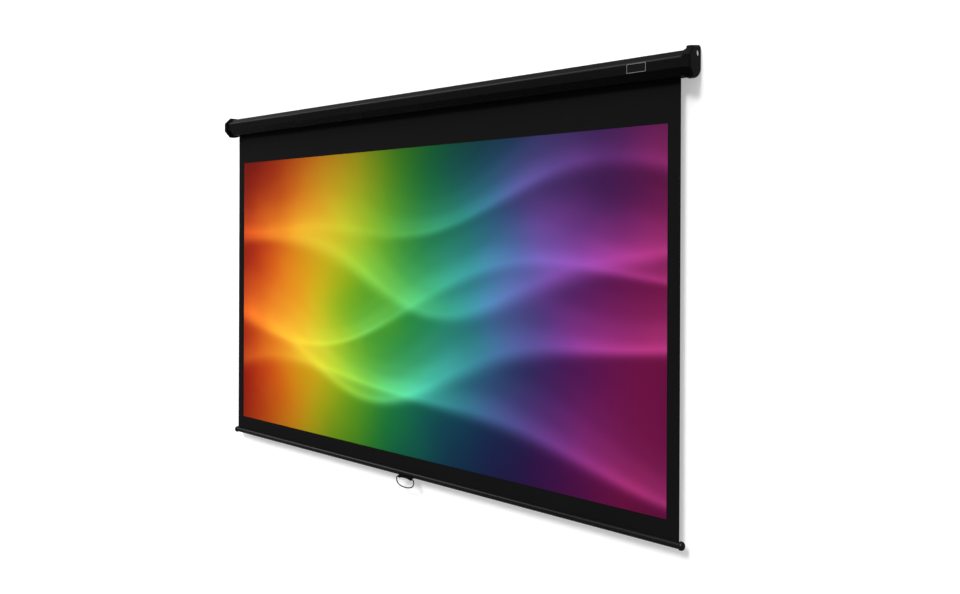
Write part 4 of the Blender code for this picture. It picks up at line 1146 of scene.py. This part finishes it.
# Along the nose, the length is the sine of a turn and the radius a power of its cosine
nose = np.linspace(0, math.radians(88), NOSE_POINTS)
bulb_x = np.concatenate([BULB_PROFILE[:, 0], BULB_ROUND_START + (BULB_END - BULB_ROUND_START) * np.sin(nose)])
bulb_radius = np.concatenate([BULB_PROFILE[:, 1], BULB_RADIUS * np.cos(nose) ** BULB_POWER])
bulb_ways = circle(turns_round(BULB_STEPS))
bulb_rings = [(FABRIC_HALF + x, BAR_CENTRE + radius * bulb_ways) for x, radius in zip(bulb_x, bulb_radius)]
bulb_faces = [grid_faces(len(bulb_rings), BULB_STEPS), *end_faces(len(bulb_rings), BULB_STEPS)]
bulb_plastic = moulded_black("gloss_black_plastic", BULB_GLOSS, BULB_ROUGHNESS)
for end_name, side in ENDS:
    bar_cap = show(f"bulb_cap_{end_name}", ring_grid(bulb_rings, side), bulb_faces, [bulb_plastic])
    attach(bar_cap, "screen")
    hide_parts(f"bar_cap_{end_name}")


# Hem: the fabric's lower edge, folded into a sleeve round a nylon rod, which the slot can't let through.

HEM_HALF = 1.128
HEM_CENTRE = BAR_CENTRE + (0.0, 0.0045)
HEM_MID_RADIUS = 0.0031
HEM_THICK = 0.0006
HEM_GAP = 0.02
HEM_STEPS = 40

hem_normals = open_circle(HEM_GAP, HEM_STEPS)
hem_sleeve = drawn_wall("hem_sleeve", HEM_CENTRE + HEM_MID_RADIUS * hem_normals, hem_normals, HEM_THICK,
                        even_levels(HEM_HALF), masking)
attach(hem_sleeve, "screen")
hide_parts("hem_pocket")


# Handle clip: a moulded saddle that hugs the front and underside of the bar, with a block below it that the
# wire handle turns in. The block is arched between its two ears.

CLIP_X = -0.006
CLIP_HALF = 0.0375
SADDLE_INNER = 0.0113
SADDLE_OUTER = 0.0133
SADDLE_FROM = math.radians(165)
SADDLE_TO = math.radians(300)
BLOCK_BACK = -0.008
BLOCK_FRONT = -0.016
BLOCK_TOP = -0.0088
BLOCK_BOTTOM = -0.018
ARCH_HALF = 0.026
ARCH_RISE = 0.004
SADDLE_POINTS = 12
ARCH_POINTS = 25
CLIP_ROUNDING = 0.0007
CLIP_SHARP_FROM = math.radians(40)
CLIP_SCREW_X = 0.020
CLIP_SCREW_GAP = 0.0003


def clip_section(bottom):
    """The clip's outline in the YZ plane about the bar's centre, for one height of the block's underside."""
    rear_meets = 2 * math.pi - math.acos(BLOCK_BACK / SADDLE_OUTER)
    front_meets = math.pi + math.asin(-BLOCK_TOP / SADDLE_OUTER)
    return np.concatenate([
        SADDLE_OUTER * circle(np.linspace(SADDLE_TO, rear_meets, SADDLE_POINTS)),
        [(BLOCK_BACK, bottom), (BLOCK_FRONT, bottom), (BLOCK_FRONT, BLOCK_TOP)],
        SADDLE_OUTER * circle(np.linspace(front_meets, SADDLE_FROM, SADDLE_POINTS)),
        SADDLE_INNER * circle(np.linspace(SADDLE_FROM, SADDLE_TO, 2 * SADDLE_POINTS))])


# The block's underside is half an ellipse over the arch, and level out to the ends
clip_levels = ARCH_HALF * np.sin(np.radians(np.linspace(-90, 90, ARCH_POINTS)))
clip_levels = np.concatenate([[-CLIP_HALF], clip_levels, [CLIP_HALF]])
arch = np.sqrt(np.clip(1 - (clip_levels / ARCH_HALF) ** 2, 0, 1))
clip_grid = ring_grid([(CLIP_X + x, clip_section(BLOCK_BOTTOM + ARCH_RISE * rise) + BAR_CENTRE)
                       for x, rise in zip(clip_levels, arch)])
ring_count, round_count = clip_grid.shape[:2]
clip_faces = [grid_faces(ring_count, round_count), *end_faces(ring_count, round_count)]
clip = show("handle_clip", clip_grid, clip_faces, [cap_plastic])
soften = clip.modifiers.new("rounded edges", "BEVEL")
soften.width = CLIP_ROUNDING
soften.segments = 3
soften.limit_method = "ANGLE"
soften.angle_limit = CLIP_SHARP_FROM
soften.harden_normals = True
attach(clip, "screen")
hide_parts("handle_bracket")

for end_name, side in ENDS:
    place_screw(f"clip_bolt_{end_name}",
                (CLIP_X + side * CLIP_SCREW_X, FABRIC_Y, BAR_CENTRE[1] - SADDLE_OUTER - CLIP_SCREW_GAP), -1,
                "screen", f"bracket_screw_{end_name}")


# Pull handle: one length of 4.8 mm wire, bent to a loop, whose two ends turn in the clip's ears. It hangs
# freely.

PIVOT = (CLIP_X, -0.052, BAR_CENTRE[1] - 0.014)
WIRE_RADIUS = 0.0024
WIRE_END = 0.031
LOOP_HALF = 0.047
LOOP_DROP = 0.038
SHOULDER_X = 0.0385
SHOULDER_DROP = 0.010
LOOP_POWER = 2.4
LOOP_POINTS = 181
WIRE_ROUND = 20
WIRE_DEEP = (0.014, 0.014, 0.016)
WIRE_PALE = (0.040, 0.040, 0.043)


def dark_wire():
    """Dark grey lacquer over steel wire, in duller and brighter patches."""
    lacquer = Finish("dark_lacquered_wire", Metallic=0.50, Specular_IOR_Level=0.3)
    patch = lacquer.noise(70.0, detail=3.0)
    return lacquer.done(lacquer.mixed(patch, WIRE_DEEP, WIRE_PALE),
                        lacquer.between(patch, 0.24, 0.40, span=(0.3, 0.7)))


def bail_line():
    """The wire's middle line: straight ends, quarter-round shoulders, then a squared half ellipse.

    The half ellipse's sine and cosine are raised to 2 over LOOP_POWER. Last, the points are spaced evenly.
    """
    straight = np.stack([np.linspace(WIRE_END, SHOULDER_X, 6)[:-1], np.zeros(5)], axis=1)
    turn = np.linspace(0, math.pi / 2, 13)[:-1]
    shoulder = np.stack([SHOULDER_X + (LOOP_HALF - SHOULDER_X) * np.sin(turn),
                         -SHOULDER_DROP * (1 - np.cos(turn))], axis=1)
    turn = np.linspace(0, math.pi / 2, 41)
    loop = np.stack([LOOP_HALF * np.cos(turn).clip(0) ** (2 / LOOP_POWER),
                     -SHOULDER_DROP - (LOOP_DROP - SHOULDER_DROP) * np.sin(turn) ** (2 / LOOP_POWER)], axis=1)
    right = np.concatenate([straight, shoulder, loop])
    both = np.concatenate([right * (-1, 1), right[-2::-1]])
    along = np.concatenate([[0], np.cumsum(np.linalg.norm(np.diff(both, axis=0), axis=1))])
    even = np.linspace(0, along[-1], LOOP_POINTS)
    x, z = (np.interp(even, along, both[:, k]) for k in range(2))
    return np.stack([PIVOT[0] + x, np.full(LOOP_POINTS, PIVOT[1]), PIVOT[2] + z], axis=1)


bail = show_tube("pull_bail", bail_line(), WIRE_RADIUS, WIRE_ROUND, dark_wire())
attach(bail, "handle")
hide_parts("handle_bail")


# Wall, floor and light: a white wall and a pale floor, seen only from their front, by the camera and faintly
# in mirrors. Lamps from the front, from above and from the left light the object, with a sky that is brighter
# behind it for matte surfaces.

WALL_BEHIND = 0.0015
FLOOR_Z = -2.45
STAGE_SIZE = 9.0
WALL_TONE = 0.78
WALL_LIFT = 0.36
FLOOR_LIFT = 0.50
MIRROR_SHARE = 0.15
# Each lamp: its name, where it stands as seen from the object, its strength, and its width in degrees
LAMPS = (
    ("key_lamp", (0.03, -1.0, 0.86), 2.3, 17),
    ("top_lamp", (0.0, -0.5, 1.0), 1.1, 50),
    ("side_lamp", (-0.66, -0.36, 0.62), 0.9, 26))
# The sky's tone straight down, level and straight up, and its share behind the object, mirrored and on matte
SKY_TONES = ((0.0, 0.10), (0.5, 0.32), (1.0, 0.45))
SKY_BEHIND_MIRRORED, SKY_BEHIND_MATTE = 0.35, 3.6
WHITE = (1.0, 1.0, 1.0)


def studio_white(name, lift):
    """A white that is seen from its front, with the object's shadow on it.

    The camera sees it, and what mirrors or lets light through sees a share of it. All other light passes
    through it, so it doesn't light the object.
    """
    white = Finish(name, Base_Color=(WALL_TONE, WALL_TONE, WALL_TONE, 1.0), Roughness=1.0,
                   Specular_IOR_Level=0.0, Emission_Color=(*WHITE, 1.0))
    ray = white.node("ShaderNodeLightPath").outputs
    white.feed(white.shader, "Emission Strength", white.math("MULTIPLY", ray["Is Camera Ray"], lift))
    mirrored = white.math("MAXIMUM", ray["Is Glossy Ray"], ray["Is Transmission Ray"])
    mirrored = white.math("MULTIPLY", mirrored, MIRROR_SHARE)
    seen = white.math("MAXIMUM", ray["Is Camera Ray"], mirrored)
    behind = white.node("ShaderNodeNewGeometry").outputs["Backfacing"]
    shown = white.math("MULTIPLY", seen, white.math("SUBTRACT", 1.0, behind))
    clear = white.node("ShaderNodeBsdfTransparent").outputs[0]
    either = white.node("ShaderNodeMixShader", in0=shown, in1=clear, in2=white.shader.outputs[0])
    white.feed(white.tree.nodes["Material Output"], "Surface", either.outputs[0])
    return white.material


def stage_plane(name, corners, finish):
    """A flat sheet of the set."""
    mesh = bpy.data.meshes.new(name)
    mesh.from_pydata(corners, [], [(0, 1, 2, 3)])
    mesh.materials.append(finish)
    placed(name, mesh)


left, right = -STAGE_SIZE, STAGE_SIZE
stage_plane("wall", [(left, WALL_BEHIND, FLOOR_Z), (right, WALL_BEHIND, FLOOR_Z),
                     (right, WALL_BEHIND, STAGE_SIZE), (left, WALL_BEHIND, STAGE_SIZE)],
            studio_white("white_wall", WALL_LIFT))
stage_plane("floor", [(left, -STAGE_SIZE, FLOOR_Z), (right, -STAGE_SIZE, FLOOR_Z),
                      (right, STAGE_SIZE, FLOOR_Z), (left, STAGE_SIZE, FLOOR_Z)],
            studio_white("pale_floor", FLOOR_LIFT))

for lamp_name, lamp_from, strength, width in LAMPS:
    lamp = placed(lamp_name, bpy.data.lights.new(lamp_name, "SUN"))
    lamp.data.energy = strength
    lamp.data.angle = math.radians(width)
    lamp_way = np.array(lamp_from) / np.linalg.norm(lamp_from)
    side_way = np.cross((0.0, 0.0, 1.0), lamp_way)
    side_way /= np.linalg.norm(side_way)
    lamp.matrix_world = standing(side_way, np.cross(lamp_way, side_way), lamp_way)

world = bpy.data.worlds.new("studio")
world.use_nodes = True
bpy.context.scene.world = world
sky = Nodes(world.node_tree)
ray = sky.node("ShaderNodeLightPath").outputs
way = sky.parts(sky.node("ShaderNodeTexCoord").outputs["Generated"])
tones = [(height, (tone, tone, tone)) for height, tone in SKY_TONES]
shade = colour_run(sky, sky.between(way["Z"], 0.0, 1.0, span=(-1.0, 1.0)), tones, "LINEAR")
share_behind = sky.math("MULTIPLY_ADD", ray["Is Diffuse Ray"], SKY_BEHIND_MATTE - SKY_BEHIND_MIRRORED,
                        SKY_BEHIND_MIRRORED)
behind = sky.between(way["Y"], 1.0, share_behind)
dimmed = sky.node("ShaderNodeVectorMath", operation="SCALE", in0=shade, Scale=behind).outputs[0]
sky.feed(sky.tree.nodes["Background"], "Color", sky.mixed(ray["Is Camera Ray"], dimmed, WHITE))

bpy.context.scene.view_settings.view_transform = "Standard"
